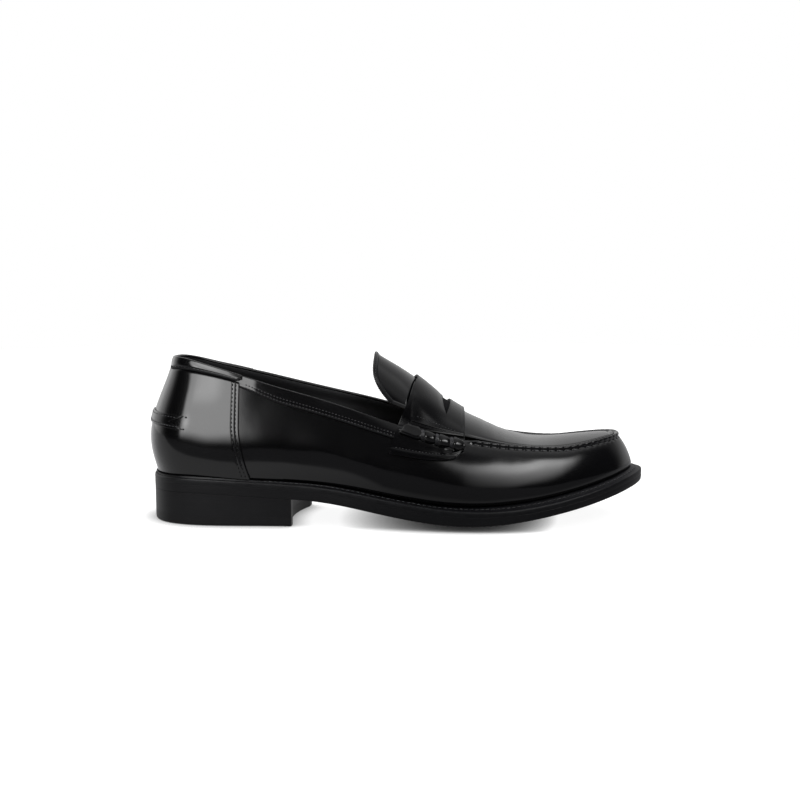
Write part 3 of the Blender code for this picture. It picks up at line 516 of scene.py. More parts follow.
def sole_edge():
    mat = Material("burnished_sole_edge")
    layers = mat.noise(scale=420, detail=3, stretch=(0.12, 0.12, 6.0))
    fibre = mat.noise(scale=1500, detail=3, stretch=(0.5, 0.5, 2.0))
    ribs = mat.bump(layers, strength=0.02, distance=0.0001)
    return mat.finish(
        Base_Color=mat.mottle(scale=45, detail=3, dark=(0.0030, 0.0030, 0.0038),
                              light=(0.0058, 0.0058, 0.0068), end=0.75),
        Roughness=mat.remap(layers, to=(0.37, 0.43)), Specular_IOR_Level=0.18,
        Coat_Weight=0.05, Coat_Roughness=0.25,
        Normal=mat.bump(fibre, strength=0.06, distance=0.00006, under=ribs))


def welt_leather():
    mat = Material("waxed_welt")
    grain = mat.noise(scale=1500, detail=2, stretch=(1, 1, 1))
    wide = mat.noise(scale=260, detail=3)
    swell = mat.bump(wide, strength=0.12, distance=0.0002)
    return mat.finish(
        Base_Color=mat.ramp(wide, [(0.3, (0.0030, 0.0030, 0.0038)),
                                   (0.7, (0.0060, 0.0060, 0.0070))]),
        Roughness=mat.remap(wide, to=(0.32, 0.48)), Specular_IOR_Level=0.21,
        Normal=mat.bump(grain, strength=0.16, distance=0.00012, under=swell))


def thread(name="waxed_thread", tone=1.0, sheen=0.5, wax=0.3):
    mat = Material(name)
    twist = mat.apply("TexWave", output="Fac", Scale=900.0, Distortion=1.5,
                      Vector=mat.stretched((1, 1, 1)))
    return mat.finish(
        Base_Color=mat.mottle(scale=700, detail=2, dark=(0.008 * tone, 0.008 * tone, 0.010 * tone),
                              light=(0.020 * tone, 0.020 * tone, 0.023 * tone)),
        Roughness=0.34, Specular_IOR_Level=sheen, Coat_Weight=wax, Coat_Roughness=0.2,
        Normal=mat.bump(twist, strength=0.25, distance=0.0001))


def cork():
    mat = Material("ground_cork")
    grains = mat.cells(scale=420, feature="F1")
    return mat.finish(
        Base_Color=mat.ramp(grains, [(0.0, (0.10, 0.055, 0.028)), (0.9, (0.42, 0.28, 0.16))]),
        Roughness=0.9, Normal=mat.bump(grains, strength=0.5, distance=0.0004))


def steel():
    mat = Material("spring_steel")
    brushing = mat.noise(scale=900, detail=3, stretch=(0.05, 2, 1))
    return mat.finish(
        Base_Color=(0.5, 0.5, 0.52, 1), Metallic=1.0, Roughness=mat.remap(brushing, to=(0.28, 0.45)),
        Normal=mat.bump(brushing, strength=0.1, distance=0.00005))


def board():
    mat = Material("leather_board")
    fibre = mat.noise(scale=500, detail=5)
    return mat.finish(
        Base_Color=mat.ramp(fibre, [(0.3, (0.28, 0.23, 0.17)), (0.7, (0.40, 0.35, 0.27))]),
        Roughness=0.85, Normal=mat.bump(fibre, strength=0.3, distance=0.0002))


STRAP = polished_leather("polished_strap_leather", gloss=0.58, blur=0.11,
                         dull_spots=[girth(164.5, share, 2.5) for share in (0.282, 0.718)])
DARK_EDGE = dark_edge()
# nearly unreflecting dark matte for the fill in the strap's slot: painted shade
PAINTED_SLOT_SHADE = dark_edge("slot_painted_shade_matte", sheen=0.02)
# dull black thread of the counter and collar stitches; also the tongue's groove cord, which is
# painted shade
DULL_THREAD_AND_SHADE_CORD = thread("dull_black_thread_and_shade_cord", tone=0.25, sheen=0.14, wax=0.0)
UPPER, EDGE, LINER = polished_leather(), edge_leather(), lining_leather()
SOLE, WELT_LEATHER, RUBBER, UNDERSIDE = sole_edge(), welt_leather(), rubber(), sole_underside()
THREAD, INSOLE = thread(), insole_leather()
SLOT_MATERIALS = {
    "upper_leather": UPPER, "lining_leather": LINER, "sole_leather": SOLE,
    "welt_leather": WELT_LEATHER, "heel_rubber": RUBBER, "insole_leather": INSOLE,
    "cork_filler": cork(), "shank_steel": steel(), "stiffener_board": board(),
    "lashing_thread": THREAD}
for part in frame["record"]["subparts"]:
    cad_piece = frame["nodes"].get(part["node"])
    if cad_piece is not None:
        cad_piece.data.materials.clear()
        cad_piece.data.materials.append(SLOT_MATERIALS[part["material_slot"]])


# ---------------------------------------------------------------- mesh helpers
def add_object(name, data):
    ob = bpy.data.objects.new(name, data)
    bpy.context.scene.collection.objects.link(ob)
    return ob


def mesh_piece(name, points, faces, materials, face_slots=None, angle=38.0, bevel=0.0, weld=True):
    """Smooth mesh object, sharp above angle (degrees); bevel in mm rounds edges above 60."""
    mesh = bpy.data.meshes.new(name)
    mesh.from_pydata(place(points).tolist(), [], faces)
    for material in materials if isinstance(materials, tuple) else (materials,):
        mesh.materials.append(material)
    if face_slots is not None:
        mesh.polygons.foreach_set("material_index", face_slots)
    bm = bmesh.new()
    bm.from_mesh(mesh)
    if weld:
        bmesh.ops.remove_doubles(bm, verts=bm.verts, dist=2e-6)
        bmesh.ops.dissolve_degenerate(bm, edges=bm.edges, dist=1e-6)
    bmesh.ops.recalc_face_normals(bm, faces=bm.faces)
    if bm.calc_volume(signed=True) < 0:
        bmesh.ops.reverse_faces(bm, faces=bm.faces)
    bm.to_mesh(mesh)
    bm.free()
    mesh.polygons.foreach_set("use_smooth", [True] * len(mesh.polygons))
    ob = add_object(name, mesh)
    if bevel:
        mod = ob.modifiers.new("round", "BEVEL")
        mod.width, mod.segments = bevel / 1000, 3
        mod.limit_method, mod.angle_limit = "ANGLE", math.radians(60)
        mod.use_clamp_overlap = True
        mod.miter_outer = "MITER_ARC"
        depsgraph = bpy.context.evaluated_depsgraph_get()
        rounded_mesh = bpy.data.meshes.new_from_object(ob.evaluated_get(depsgraph))
        ob.modifiers.clear()
        ob.data = rounded_mesh
        rounded_mesh.name = name
        bpy.data.meshes.remove(mesh)
    ob.data.polygons.foreach_set("use_smooth", [True] * len(ob.data.polygons))
    ob.data.set_sharp_from_angle(angle=math.radians(angle))
    return ob


def shell(name, outer, inner, materials, skip=None, edge_slot=0, slot_at=None, **options):
    """Closed body between two grids of points; skip(i, j) leaves a cell out as a hole."""
    rows, columns = outer.shape[:2]
    under = rows * columns
    gone = np.ones((rows + 1, columns + 1), bool)
    gone[1:-1, 1:-1] = False
    if skip is not None:
        for i in range(rows - 1):
            for j in range(columns - 1):
                gone[i + 1, j + 1] = skip(i, j)
    faces, slots = [], []
    for i in range(rows - 1):
        for j in range(columns - 1):
            if gone[i + 1, j + 1]:
                continue
            a = i * columns + j
            b = a + columns
            c, d = b + 1, a + 1
            faces += [(a, b, c, d), (d + under, c + under, b + under, a + under)]
            slots += [slot_at(i, j) if slot_at else 0, 0]
            for start, end, lost in ((a, b, gone[i + 1, j]), (c, d, gone[i + 1, j + 2]),
                                     (b, c, gone[i + 2, j + 1]), (d, a, gone[i, j + 1])):
                if lost:
                    faces.append((end, start, start + under, end + under))
                    slots.append(edge_slot)
    points = np.concatenate([outer.reshape(-1, 3), inner.reshape(-1, 3)])
    return mesh_piece(name, points, faces, materials, slots, **options)


def tube_faces(rings, sides, base=0, closed=False):
    """Faces through a row of rings of points, capped, or joined end to end when closed."""
    faces = []
    if not closed:
        last = base + (rings - 1) * sides
        faces = [tuple(range(base, base + sides))[::-1], tuple(range(last, last + sides))]
    for i in range(rings if closed else rings - 1):
        row, after = base + i * sides, base + (i + 1) % rings * sides
        for j in range(sides):
            k = (j + 1) % sides
            faces.append((row + j, row + k, after + k, after + j))
    return faces


def sweep(name, sections, material, closed=False, **options):
    faces = tube_faces(*sections.shape[:2], closed=closed)
    return mesh_piece(name, sections, faces, material, **options)


def finish(ob, slot, *replaced, span=None):
    """Hides the CAD nodes that a piece replaces and hangs a piece without a span on the shoe's body;
    a piece with a span only has its transform baked. slot is not used.
    """
    if replaced:
        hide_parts(*replaced)
    if span is None:
        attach(ob, "shoe")
        return
    part, limits, z = {"flex": ("forepart", FLEX_X, FLEX_Z),
                       "tongue": ("tongue", TONGUE_X, TONGUE_Z)}[span]
    start, end = (((x - CENTRE[0]) / 1000, 0, z / 1000) for x in limits)
    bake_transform(ob)
    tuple(start)
    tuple(end)


def resample(points, normals, step):
    """Points and normals along a line at a fixed step."""
    gaps = np.linalg.norm(np.diff(points, axis=0), axis=1)
    length = np.concatenate([[0], np.cumsum(gaps)])
    marks = np.linspace(0, length[-1], max(1, int(round(length[-1] / step))) + 1)
    points, normals = (np.stack([np.interp(marks, length, v[:, c]) for c in range(3)], -1)
                       for v in (points, normals))
    return points, unit(normals)


def stitches(name, lines, step, fill, wide, tall, span=None, sink=0.35, material=THREAD,
             jitter=0.06):
    """Rows of thread stitches along lines, a list of (points, normals). Each stitch fills a share
    of its step, arches out of the leather and dives back in, by sink; jitter skews it."""
    rings, sides = 7, 6
    reach = np.linspace(-1, 1, rings)
    taper = np.sqrt(np.maximum(0.0, 1 - np.abs(reach) ** 2.6)) * 0.85 + 0.15
    lift = tall * 0.42 * (1 - reach ** 2) - sink * wide * np.abs(reach) ** 3
    turn = 2 * np.pi * np.arange(sides) / sides
    bodies, faces = [], []
    for points, normals in lines:
        points, normals = resample(points, normals, step)
        for i in range(len(points) - 1):
            start, end = points[i], points[i + 1]
            up = unit(normals[i] + normals[i + 1])
            ahead = unit(unit(end - start) + rng.normal(0, jitter, 3) * (1 - np.abs(up)))
            aside = unit(np.cross(up, ahead))
            half = np.linalg.norm(end - start) * fill / 2
            spine = (start + end) / 2 + np.outer(reach * half, ahead) + np.outer(lift, up)
            ring = np.outer(np.cos(turn) * wide / 2, aside) + np.outer(np.sin(turn) * tall / 2, up)
            faces += tube_faces(rings, sides, base=len(bodies) * rings * sides)
            bodies.append(spine[:, None] + ring * taper[:, None, None])
    ob = mesh_piece(name, np.array(bodies), faces, material, weld=False, angle=80)
    finish(ob, "lashing_thread", span=span)


# ---------------------------------------------------------------- bottom unit
def welt_in(extra):
    return lambda way: welt_width(way) + extra


def at_x(x, side, inset=0.0):
    """Distance in stations from the heel at which the outline, moved in by inset, reaches x."""
    ways = HALF_WAYS if side < 0 else ROUND - HALF_WAYS
    line_x, _ = outline(ways, inset(ways) if callable(inset) else inset)
    return float(np.interp(x, np.maximum.accumulate(line_x), HALF_WAYS))


def plate(name, lat_ways, med_ways, profile, z_top, z_bottom, materials, columns=15, bow=0.0,
          front=False, under_slot=0, **options):
    """Plate across the outline. profile: (inset, z(x)) from the top face round to the bottom face.
    lat_ways, med_ways: ways along each side; z_top and z_bottom take (x, share). bow draws the
    middle back towards the heel; front closes the plate's front end."""
    share = graded(columns, 1)[1:-1]
    count = len(lat_ways)
    bow = bow + np.zeros(count)

    def edge(ways):
        rows = []
        for inset, z_at in profile:
            x, y = outline(ways, inset(ways) if callable(inset) else inset)
            rows.append(np.stack([x, y, z_at(x)], -1))
        return np.stack(rows, 1)

    def across(start, end, z_at):
        face = mix(start[:, None], end[:, None], share[None, :, None])
        face[..., 0] -= bow[:, None] * 4 * (share * (1 - share))[None, :]
        face[..., 2] = z_at(face[..., 0], share[None, :])
        return face

    lateral, medial = edge(lat_ways), edge(med_ways)
    top = across(lateral[:, 0], medial[:, 0], z_top)
    bottom = across(lateral[:, -1], medial[:, -1], z_bottom)
    # each loop: top to the inner side, down that edge, bottom back, up the outer edge
    loops = np.concatenate([top, medial, bottom[:, ::-1], lateral[:, ::-1]], 1)
    deep, wide, size = len(profile), len(share), loops.shape[1]
    kinds = [0] * (wide + deep - 1) + [under_slot] * (wide + 1) + [0] * deep
    faces = tube_faces(count, size)[2:]
    slots = kinds * (count - 1)
    if front:
        base = (count - 1) * size
        upper = [base + size - 1] + list(range(base, base + wide + 1))
        lower = list(range(base + 2 * wide + deep, base + wide + deep - 2, -1))
        for j in range(wide + 1):
            faces.append((upper[j], upper[j + 1], lower[j + 1], lower[j]))
        for start in (base + wide, base + 2 * wide + deep):
            faces.append(tuple(range(start, start + deep)))
        slots += [0] * (wide + 3)
    return mesh_piece(name, loops, faces, materials, slots, **options)


def level(base, shift):
    return lambda x: base(x) + shift


def sole_low(x):
    """Height of the outsole's lower edge."""
    return edge_z(x) - edge_thickness(x)


def sole_dip(x):
    """How far the middle of the underside hangs below its edges."""
    return np.interp(x, [0, 96, 130, 180, 210, 250, 285, 300], [0, 0, 1.0, 2.6, 3.0, 2.0, 0.8, 0])


# (inset at the heel, inset forward of it, share of the edge's height, shift in z)
OUTSOLE_PROFILE = [
    (9.0, 9.0, 1, -0.01), (0.4, 0.4, 1, -0.01), (0.05, 0.05, 1, -0.02), (0.0, 0.0, 1, -0.10),
    (0.0, 0.0, 1, -0.9), (0.0, -0.05, 0.5, 0.0), (0.03, 0.02, 0, 1.9), (0.05, 0.10, 0, 1.35),
    (0.06, 0.24, 0, 0.85), (0.08, 0.50, 0, 0.42), (0.12, 0.95, 0, 0.12), (0.6, 1.6, 0, 0.0),
    (2.6, 2.6, 0, -0.02)]


def outsole():
    def corner(heel, forward, share, shift):
        return (lambda way: heel + (forward - heel) * smooth(sole_x(way), 88, 104),
                lambda x: mix(sole_low(x), edge_z(x) - WELT_T, share) + shift)

    def underside(x, share):
        return sole_low(x) - sole_dip(x) * (1 - (2 * share - 1) ** 2) - 0.02

    ways = HALF * graded(230, 0.55)
    ob = plate("outsole", ways, ROUND - ways, [corner(*row) for row in OUTSOLE_PROFILE],
               lambda x, share: edge_z(x) - WELT_T - 0.04, underside, (SOLE, UNDERSIDE),
               under_slot=1, columns=21, angle=30)
    finish(ob, "sole_leather", "outsole_rear", "outsole_forepart", span="flex")


# (inset, inset per mm of welt width, z from the edge, z per mm of welt rise)
WELT_PROFILE = [
    (0.30, 0, -WELT_T, 0), (0.04, 0, -WELT_T + 0.02, 0), (0.0, 0, -WELT_T + 0.12, 0),
    (-0.02, 0, -2.0, 0), (0.0, 0, -1.15, 0), (0.07, 0, -0.66, 0), (0.24, 0, -0.28, 0),
    (0.54, 0, -0.05, 0), (0.92, 0, 0.02, 0), (1.30, 0, -0.04, 0.03), (0.6, 0.42, -0.10, 0.34),
    (0.3, 0.62, -0.12, 0.56), (-0.75, 1, -0.12, 0.80), (-0.2, 1, -0.62, 1), (0.8, 1, -0.40, 1),
    (3.0, 1, -0.35, 1), (6.0, 1, -0.4, 1), (6.0, 1, -WELT_T + 0.02, 0)]


def welt():
    ways = np.linspace(0, ROUND, 721)[:-1]
    loops = []
    for inset, per_width, shift, per_rise in WELT_PROFILE:
        x, y = outline(ways, inset + per_width * welt_width(ways))
        loops.append(np.stack([x, y, edge_z(x) + shift + per_rise * welt_rise(ways)], -1))
    ob = sweep("welt", np.stack(loops, 1), WELT_LEATHER, closed=True, angle=45)
    finish(ob, "welt_leather", "welt_rear", "welt_forepart", span="flex")


def welt_stitches():
    """A row on the welt's sloped top."""
    ways = np.linspace(at_x(70, -1), ROUND - at_x(78, 1), 900)
    share, slope, edge = 0.46, 0.86, 1.2      # place across the top, its steepness, its outer edge
    width, rise = welt_width(ways) - edge, welt_rise(ways)
    inset = edge + width * share
    x, y = outline(ways, inset)
    points = np.stack([x, y, edge_z(x) + rise * share * slope], -1)
    x, y = outline(ways, inset + 0.5)
    inward = np.stack([x, y, points[:, 2] + 0.5 * rise / np.maximum(width, 0.6) * slope], -1)
    normals = np.cross(unit(inward - points), unit(np.gradient(points, axis=0)))
    normals = unit(np.where(normals[:, 2:3] < 0, -normals, normals))
    stitches("welt_stitches", [(points, normals)], step=3.1, fill=0.80, wide=0.62, tall=0.50,
             span="flex")


def lift_level(share, shift=0.0):
    """Height, by x, at a share of the stack of heel lifts."""
    base = HEEL_TOP_PIECE + 0.015
    return lambda x: base + (sole_low(x) - 0.02 - base) * share + shift


def heel_layer(name, bottom, top, material, node, slot, inset, soft, low):
    """One layer of the heel; soft and low round its upper and lower edges."""
    grade = start_graded(110)
    profile = [
        (6.0, top), (inset + soft * 1.2, top), (inset + soft * 0.3, level(top, -soft * 0.35)),
        (inset, level(top, -soft * 1.2)), (inset, level(top, -soft * 1.2 - 0.03)),
        (inset, lambda x: (bottom(x) + top(x)) / 2),
        (inset, level(bottom, low * 1.2 + 0.03)), (inset, level(bottom, low * 1.2)),
        (inset + low * 0.3, level(bottom, low * 0.35)), (inset + low * 1.2, bottom),
        (6.0, bottom)]
    ob = plate(name, at_x(BREAST_LAT, -1, 0.5) * grade, ROUND - at_x(BREAST_MED, 1, 0.5) * grade,
               profile, lambda x, share: top(x), lambda x, share: bottom(x), material,
               bow=BREAST_BOW * grade ** 3, front=True, columns=19, angle=34)
    finish(ob, slot, node)


def heel():
    """Rubber top piece and three leather lifts."""
    heel_layer("heel_top_rubber", lambda x: 0 * x, lambda x: HEEL_TOP_PIECE + 0 * x, RUBBER,
               "heel_top_piece", "heel_rubber", inset=0.125, soft=0.012, low=0.7)
    for i in range(3):
        heel_layer("heel_lift_leather_%d" % (i + 1), lift_level(i / 3, 0.006),
                   lift_level((i + 1) / 3), SOLE, "heel_lift_%d" % (i + 1), "sole_leather",
                   inset=0.12 - 0.005 * i, soft=0.010, low=0.010)


def bed(x):
    """Base height that the insole and heel sock are measured from."""
    return edge_z(x) + np.interp(x, [0, 90, 170, 200, 235, 300], [1.8, 1.65, 1.45, 2.2, 3.05, 3.1])


def bed_profile(*rows):
    """Profile from (inset from the feather line, height over the bed) rows."""
    return [(welt_in(inset), level(bed, height)) for inset, height in rows]


def insole():
    ways = HALF * graded(140, 0.55)
    ob = plate("insole_board", ways, ROUND - ways,
               bed_profile((8, 3.7), (4.8, 3.6), (4.4, 3.2), (4.4, 2.0), (4.8, 1.7)),
               lambda x, share: bed(x) + 3.7, lambda x, share: bed(x) + 1.7, INSOLE, columns=11)
    finish(ob, "insole_leather", "insole_rear", "insole_forepart", span="flex")


def heel_sock():
    grade = start_graded(90, 1)
    ob = plate("heel_sock_leather", at_x(108, -1, welt_in(5.4)) * grade,
               ROUND - at_x(112, 1, welt_in(5.4)) * grade,
               bed_profile((7.5, 5.0), (6.2, 5.02), (5.6, 4.85), (5.4, 4.4), (5.5, 3.95)),
               lambda x, share: bed(x) + 5.0 + 0.25 * np.sin(np.pi * share),
               lambda x, share: bed(x) + 3.9, LINER, bow=-6.0 * grade ** 3, front=True,
               columns=19)
    finish(ob, "lining_leather", "heel_sock")


def channel_stitches():
    """A row round the sole's underside, in front of the heel."""
    inset = 5.2
    ways = np.linspace(at_x(104, -1), ROUND - at_x(110, 1), 700)
    x, y = outline(ways, inset)
    lateral = np.minimum(ways, ROUND - ways)
    width = 2 * np.maximum((sole_y(ROUND - lateral) - sole_y(lateral)) / 2, 1.0)
    share = np.clip(inset / width, 0.02, 0.5)
    points = np.stack([x, y, sole_low(x) - sole_dip(x) * (1 - (1 - 2 * share) ** 2) - 0.02], -1)
    stitches("sole_channel_stitches", [(points, np.tile([0, 0, -1.0], (len(points), 1)))],
             step=3.6, fill=0.74, wide=0.7, tall=0.5, span="flex")


outsole()
welt()
welt_stitches()
heel()
insole()
heel_sock()
channel_stitches()


# ---------------------------------------------------------------- upper: shared lines
def away(way):
    """Stations from the back of the heel, on either side."""
    way = np.asarray(way, float)
    return np.abs(np.where(way > HALF, way - ROUND, way))


def lap(way):
    """Step of the counter's inner face out over the wall."""
    return 1.6 * smooth(away(way), 3.7, 4.5)


def lap_out(way):
    """The counter's outer face rises slowly over the wall beneath, up to its front edge."""
    return 1.6 * smooth(away(way), 3.5, 5.45)


def counter_edge_table(highs):
    ways = np.linspace(4.4, 6.4, 161)
    return np.array([np.interp(56.1 + 6.4 * max(0.0, 1 - high / 0.55) ** 1.6,
                               wall(ways, 0.87 * high)[:, 0], ways) for high in highs])


EDGE_HIGHS = np.linspace(0, 1, 81)
EDGE_WAYS = counter_edge_table(EDGE_HIGHS)


def counter_edge(high):
    """Front edge of the outside counter, by height: upright above, swinging forward below."""
    return np.interp(high, EDGE_HIGHS, EDGE_WAYS)


def band(way):
    """Depth of the rear collar."""
    return 7.6 - 3.0 * smooth(away(way), 1.5, 5.1)


def strip_depth(way):
    """Depth of the front collars."""
    return COLLAR - 1.8 * (1 - smooth(away(way), 5.0, 6.4))


def from_end(share):
    return np.minimum(share, 1 - share)


def strap_rear(share):
    return np.interp(from_end(share),
                     [0.0, 0.02, 0.105, 0.193, 0.258, 0.307, 0.352, 0.408, 0.475, 0.5],
                     [144.2, 145.5, 147.8, 150.2, 153.2, 155.8, 157.5, 159.2, 161.0, 161.3])


def strap_front(share):
    cut = np.clip((0.16 - from_end(share)) / 0.13, 0, 1)
    return 189.4 - 9.0 * cut ** 8 - 7.0 * cut ** 1.3


def tab_low(x, share):
    """Girth share moved down so that the strap's lower edge runs lower towards the rear."""
    move = 0.027 * np.clip((173.5 - x) / 29.3, 0, 1) * (1 - smooth(from_end(share), 0.03, 0.15))
    return share + np.where(share < 0.5, -move, move)


def slot_half(share):
    """Width of the strap's slot by girth share, 1 in the middle."""
    return np.clip(1 - ((share - 0.5) / 0.155) ** 2, 0, 1)


# lengths up the bare wall, by way and high
WALL_HIGHS = np.linspace(0, 1, 61)
WALL_WAYS = np.linspace(0, ROUND, 289)
WALL_STEPS = np.linalg.norm(np.diff(bare_wall(WALL_WAYS[:, None], WALL_HIGHS), axis=1), axis=-1)
WALL_LENGTH = np.concatenate([np.zeros((len(WALL_WAYS), 1)), np.cumsum(WALL_STEPS, axis=1)], 1)
WALL_DROP = WALL_LENGTH[:, -1:] - WALL_LENGTH


def wall_row(way):
    """Row of the wall tables just before way, and how far past it way lies."""
    place_in = np.mod(way, ROUND) / (WALL_WAYS[1] - WALL_WAYS[0])
    row = np.clip(place_in.astype(int), 0, len(WALL_WAYS) - 2)
    return row, place_in - row


def high_at(way, drop):
    way, drop = arrays(way, drop)
    row, past = wall_row(way)
    high = np.empty(drop.shape)
    for k in np.unique(row):
        here = row == k
        first, second = (np.interp(WALL_LENGTH[i, -1] - drop[here], WALL_LENGTH[i], WALL_HIGHS)
                         for i in (k, k + 1))
        high[here] = mix(first, second, past[here])
    return high


def drop_at(way, high):
    way, high = arrays(way, high)
    i, past = wall_row(way)
    steps = len(WALL_HIGHS) - 1
    j = np.clip((high * steps).astype(int), 0, steps - 1)
    above = high * steps - j
    return mix(mix(WALL_DROP[i, j], WALL_DROP[i, j + 1], above),
               mix(WALL_DROP[i + 1, j], WALL_DROP[i + 1, j + 1], above), past)


def below(way, drop, out):
    """Wall point at a distance below the topline."""
    return wall(way, high_at(way, drop), out)


# stitch phase along the seam, from the outer side's collar round the toe to the inner side's
SEAM_WAYS = np.linspace(8.6, ROUND - 8.6, 1201)
SEAM_POINTS = np.stack([top_x(SEAM_WAYS), top_y(SEAM_WAYS), top_z(SEAM_WAYS)], -1)
SEAM_PITCH = np.interp((SEAM_POINTS[1:, 0] + SEAM_POINTS[:-1, 0]) / 2,
                       [160, 225, 262, 283], [5.4, 5.1, 4.5, 4.1])
SEAM_PHASE = np.concatenate([[0], np.cumsum(
    np.linalg.norm(np.diff(SEAM_POINTS, axis=0), axis=1) / SEAM_PITCH)])


def gather(way):
    """Stitch phase along the moccasin seam, and the pinch (1 at a stitch, 0 between)."""
    phase = np.interp(way, SEAM_WAYS, SEAM_PHASE)
    return phase, bell(phase - np.floor(phase) - 0.5, 0.15)


def on_seam(way):
    return smooth(top_x(way), 190, 198)


def sway(way, high):
    """Slight unevenness of lasted leather."""
    return 0.05 * np.sin(2.1 * way + 3.1 * high + 0.6) * np.sin(5.3 * high + 0.9 * way) \
        + 0.03 * np.sin(4.7 * way - 6.0 * high + 1.9) * smooth(high, 0.0, 0.15)


def wall_relief(way, drop, high):
    """Offset of the wall's outer face: ridge, groove and gathers along the seam."""
    phase, pinch = gather(way)
    toe = smooth(top_x(way), 225, 262)
    hump = 1.5 * (1 - 0.045 * pinch) \
        * (1 - smooth(drop, 1.85 - 0.45 * pinch, 3.15 - 0.30 * pinch))
    groove = -0.20 * bell(drop - 3.35, 0.45) - 0.42 * pinch * bell(drop - 3.45, 0.7)
    fold = (0.04 + 0.02 * toe) * (0.5 + 0.5 * np.cos(2 * np.pi * phase)) \
        * np.exp(-np.clip(drop - 3.4, 0, 99) / 1.3) * smooth(drop, 2.6, 3.8)
    ripple = 0.02 * np.sin(2 * np.pi * phase * 0.37 + 1.1) * np.exp(-np.clip(drop - 3, 0, 99) / 6.0)
    return on_seam(way) * (hump + groove + fold + ripple) + sway(way, high)


# ---------------------------------------------------------------- side wall
# under the foot, outermost first: (margin inside the feather line, lift) of the outer face, inner
WALL_MARGINS = [((6.0, 0.1), (6.0, 1.1)), ((2.6, 0.05), (3.2, 1.1)), ((0.7, 0.0), (1.9, 1.15))]
LOW_ROWS = [0.0, 0.02, 0.05, 0.085, 0.125, 0.17, 0.22, 0.27, 0.325, 0.38, 0.44, 0.50, 0.56, 0.61]
LOW_REACH = 0.65                # value in LOW_ROWS that would lie at the first of TOP_DROPS
TOP_DROPS = [8.6, 7.5, 6.4, 5.6, 5.0, 4.5, 4.1, 3.75, 3.45, 3.2, 2.95, 2.7, 2.4, 2.1, 1.75, 1.35,
             0.98]
# over the upper edge: (drop, share of the ridge's height, further offset)
RIM_ROWS = [(0.6, 0.92, 0.0), (0.28, 0.72, 0.0), (0.08, 0.40, 0.0), (0.0, 0.0, 0.05),
            (0.0, 0.0, -0.45), (0.06, 0.0, -0.9)]


def side_wall():
    even = np.linspace(0, 1, 940)
    density = np.interp(top_x(4.7 + even * (ROUND - 9.4)), [60, 150, 190, 283],
                        [0.8, 0.9, 1.0, 0.9])
    spacing = np.concatenate([[0], np.cumsum(1 / density[:-1])])
    spacing = spacing / spacing[-1]

    def ways_at(high):
        """From just under one counter's edge round the toe to the other's."""
        start = counter_edge(high) - 0.42
        return start + spacing * (ROUND - 2 * start)

    def margin(way, inside, lift):
        x, y = outline(way, welt_width(way) + inside)
        return np.stack([x, y, edge_z(x) + welt_rise(way) + lift], -1)

    outer, inner = [], []
    ways = ways_at(0.0)
    for outer_margin, inner_margin in WALL_MARGINS:
        outer.append(margin(ways, *outer_margin))
        inner.append(margin(ways, *inner_margin))
    for row in LOW_ROWS:
        ways = ways_at(row)
        high = high_at(ways, TOP_DROPS[0]) * row / LOW_REACH
        out = wall_relief(ways, drop_at(ways, high), high) * smooth(high, -0.02, 0.05)
        outer.append(wall(ways, high, out - (0.0 if row > 0.02 else 0.12)))
        inner.append(wall(ways, np.maximum(high, 0.06), -LEATHER))
    ways = ways_at(1.0)
    for drop in TOP_DROPS:
        high = high_at(ways, drop)
        outer.append(wall(ways, high, wall_relief(ways, drop + 0 * ways, high)))
        inner.append(wall(ways, high, -LEATHER))
    ridge = on_seam(ways) * 1.5 * (1 - 0.045 * gather(ways)[1])
    for drop, share, shift in RIM_ROWS:
        thinning = -(0.6 - drop) * 0.4 if share > 0 else 0.0
        outer.append(below(ways, drop, ridge * share + shift + (1 - on_seam(ways)) * thinning))
        inner.append(below(ways, max(drop, 0.3), -LEATHER))
    ob = shell("side_wall_leather", np.stack(outer, 1), np.stack(inner, 1), UPPER, angle=60)
    finish(ob, "upper_leather", "side_wall", span="flex")


def moccasin_stitches():
    """Hand stitches just under the seam's ridge, one per gather."""
    first, last = (np.interp(float(seam_way(198, side)), SEAM_WAYS, SEAM_PHASE)
                   for side in (-1, 1))
    drop = 3.42
    lines = []
    for k in range(int(np.ceil(first)), int(last)):
        start, end = np.interp([k + 0.5, k + 1.5], SEAM_PHASE, SEAM_WAYS)
        ways = start + (end - start) * np.array([0.10, 0.5, 0.90])
        high = high_at(ways, drop)
        out = wall_relief(ways, drop + 0 * ways, high) + 0.02
        lines.append(with_normals(wall, ways, high, out))
    stitches("moccasin_stitches", lines, step=99.0, fill=1.0, wide=0.75, tall=0.62, span="flex",
             jitter=0.03, sink=0.5)


side_wall()
moccasin_stitches()


# ---------------------------------------------------------------- apron plug and tongue
def apron(x, share, out, inset):
    """Vamp point at a share of the width between lines inset from the seam on each side."""
    width = seam(x, 1)[0] - seam(x, -1)[0]
    margin = np.clip(inset / np.maximum(width, 1e-6), 0, 0.49)
    across = margin + (1 - 2 * margin) * share
    return vamp(x, np.arccos(np.clip(1 - 2 * across, -1, 1)) / np.pi, out)


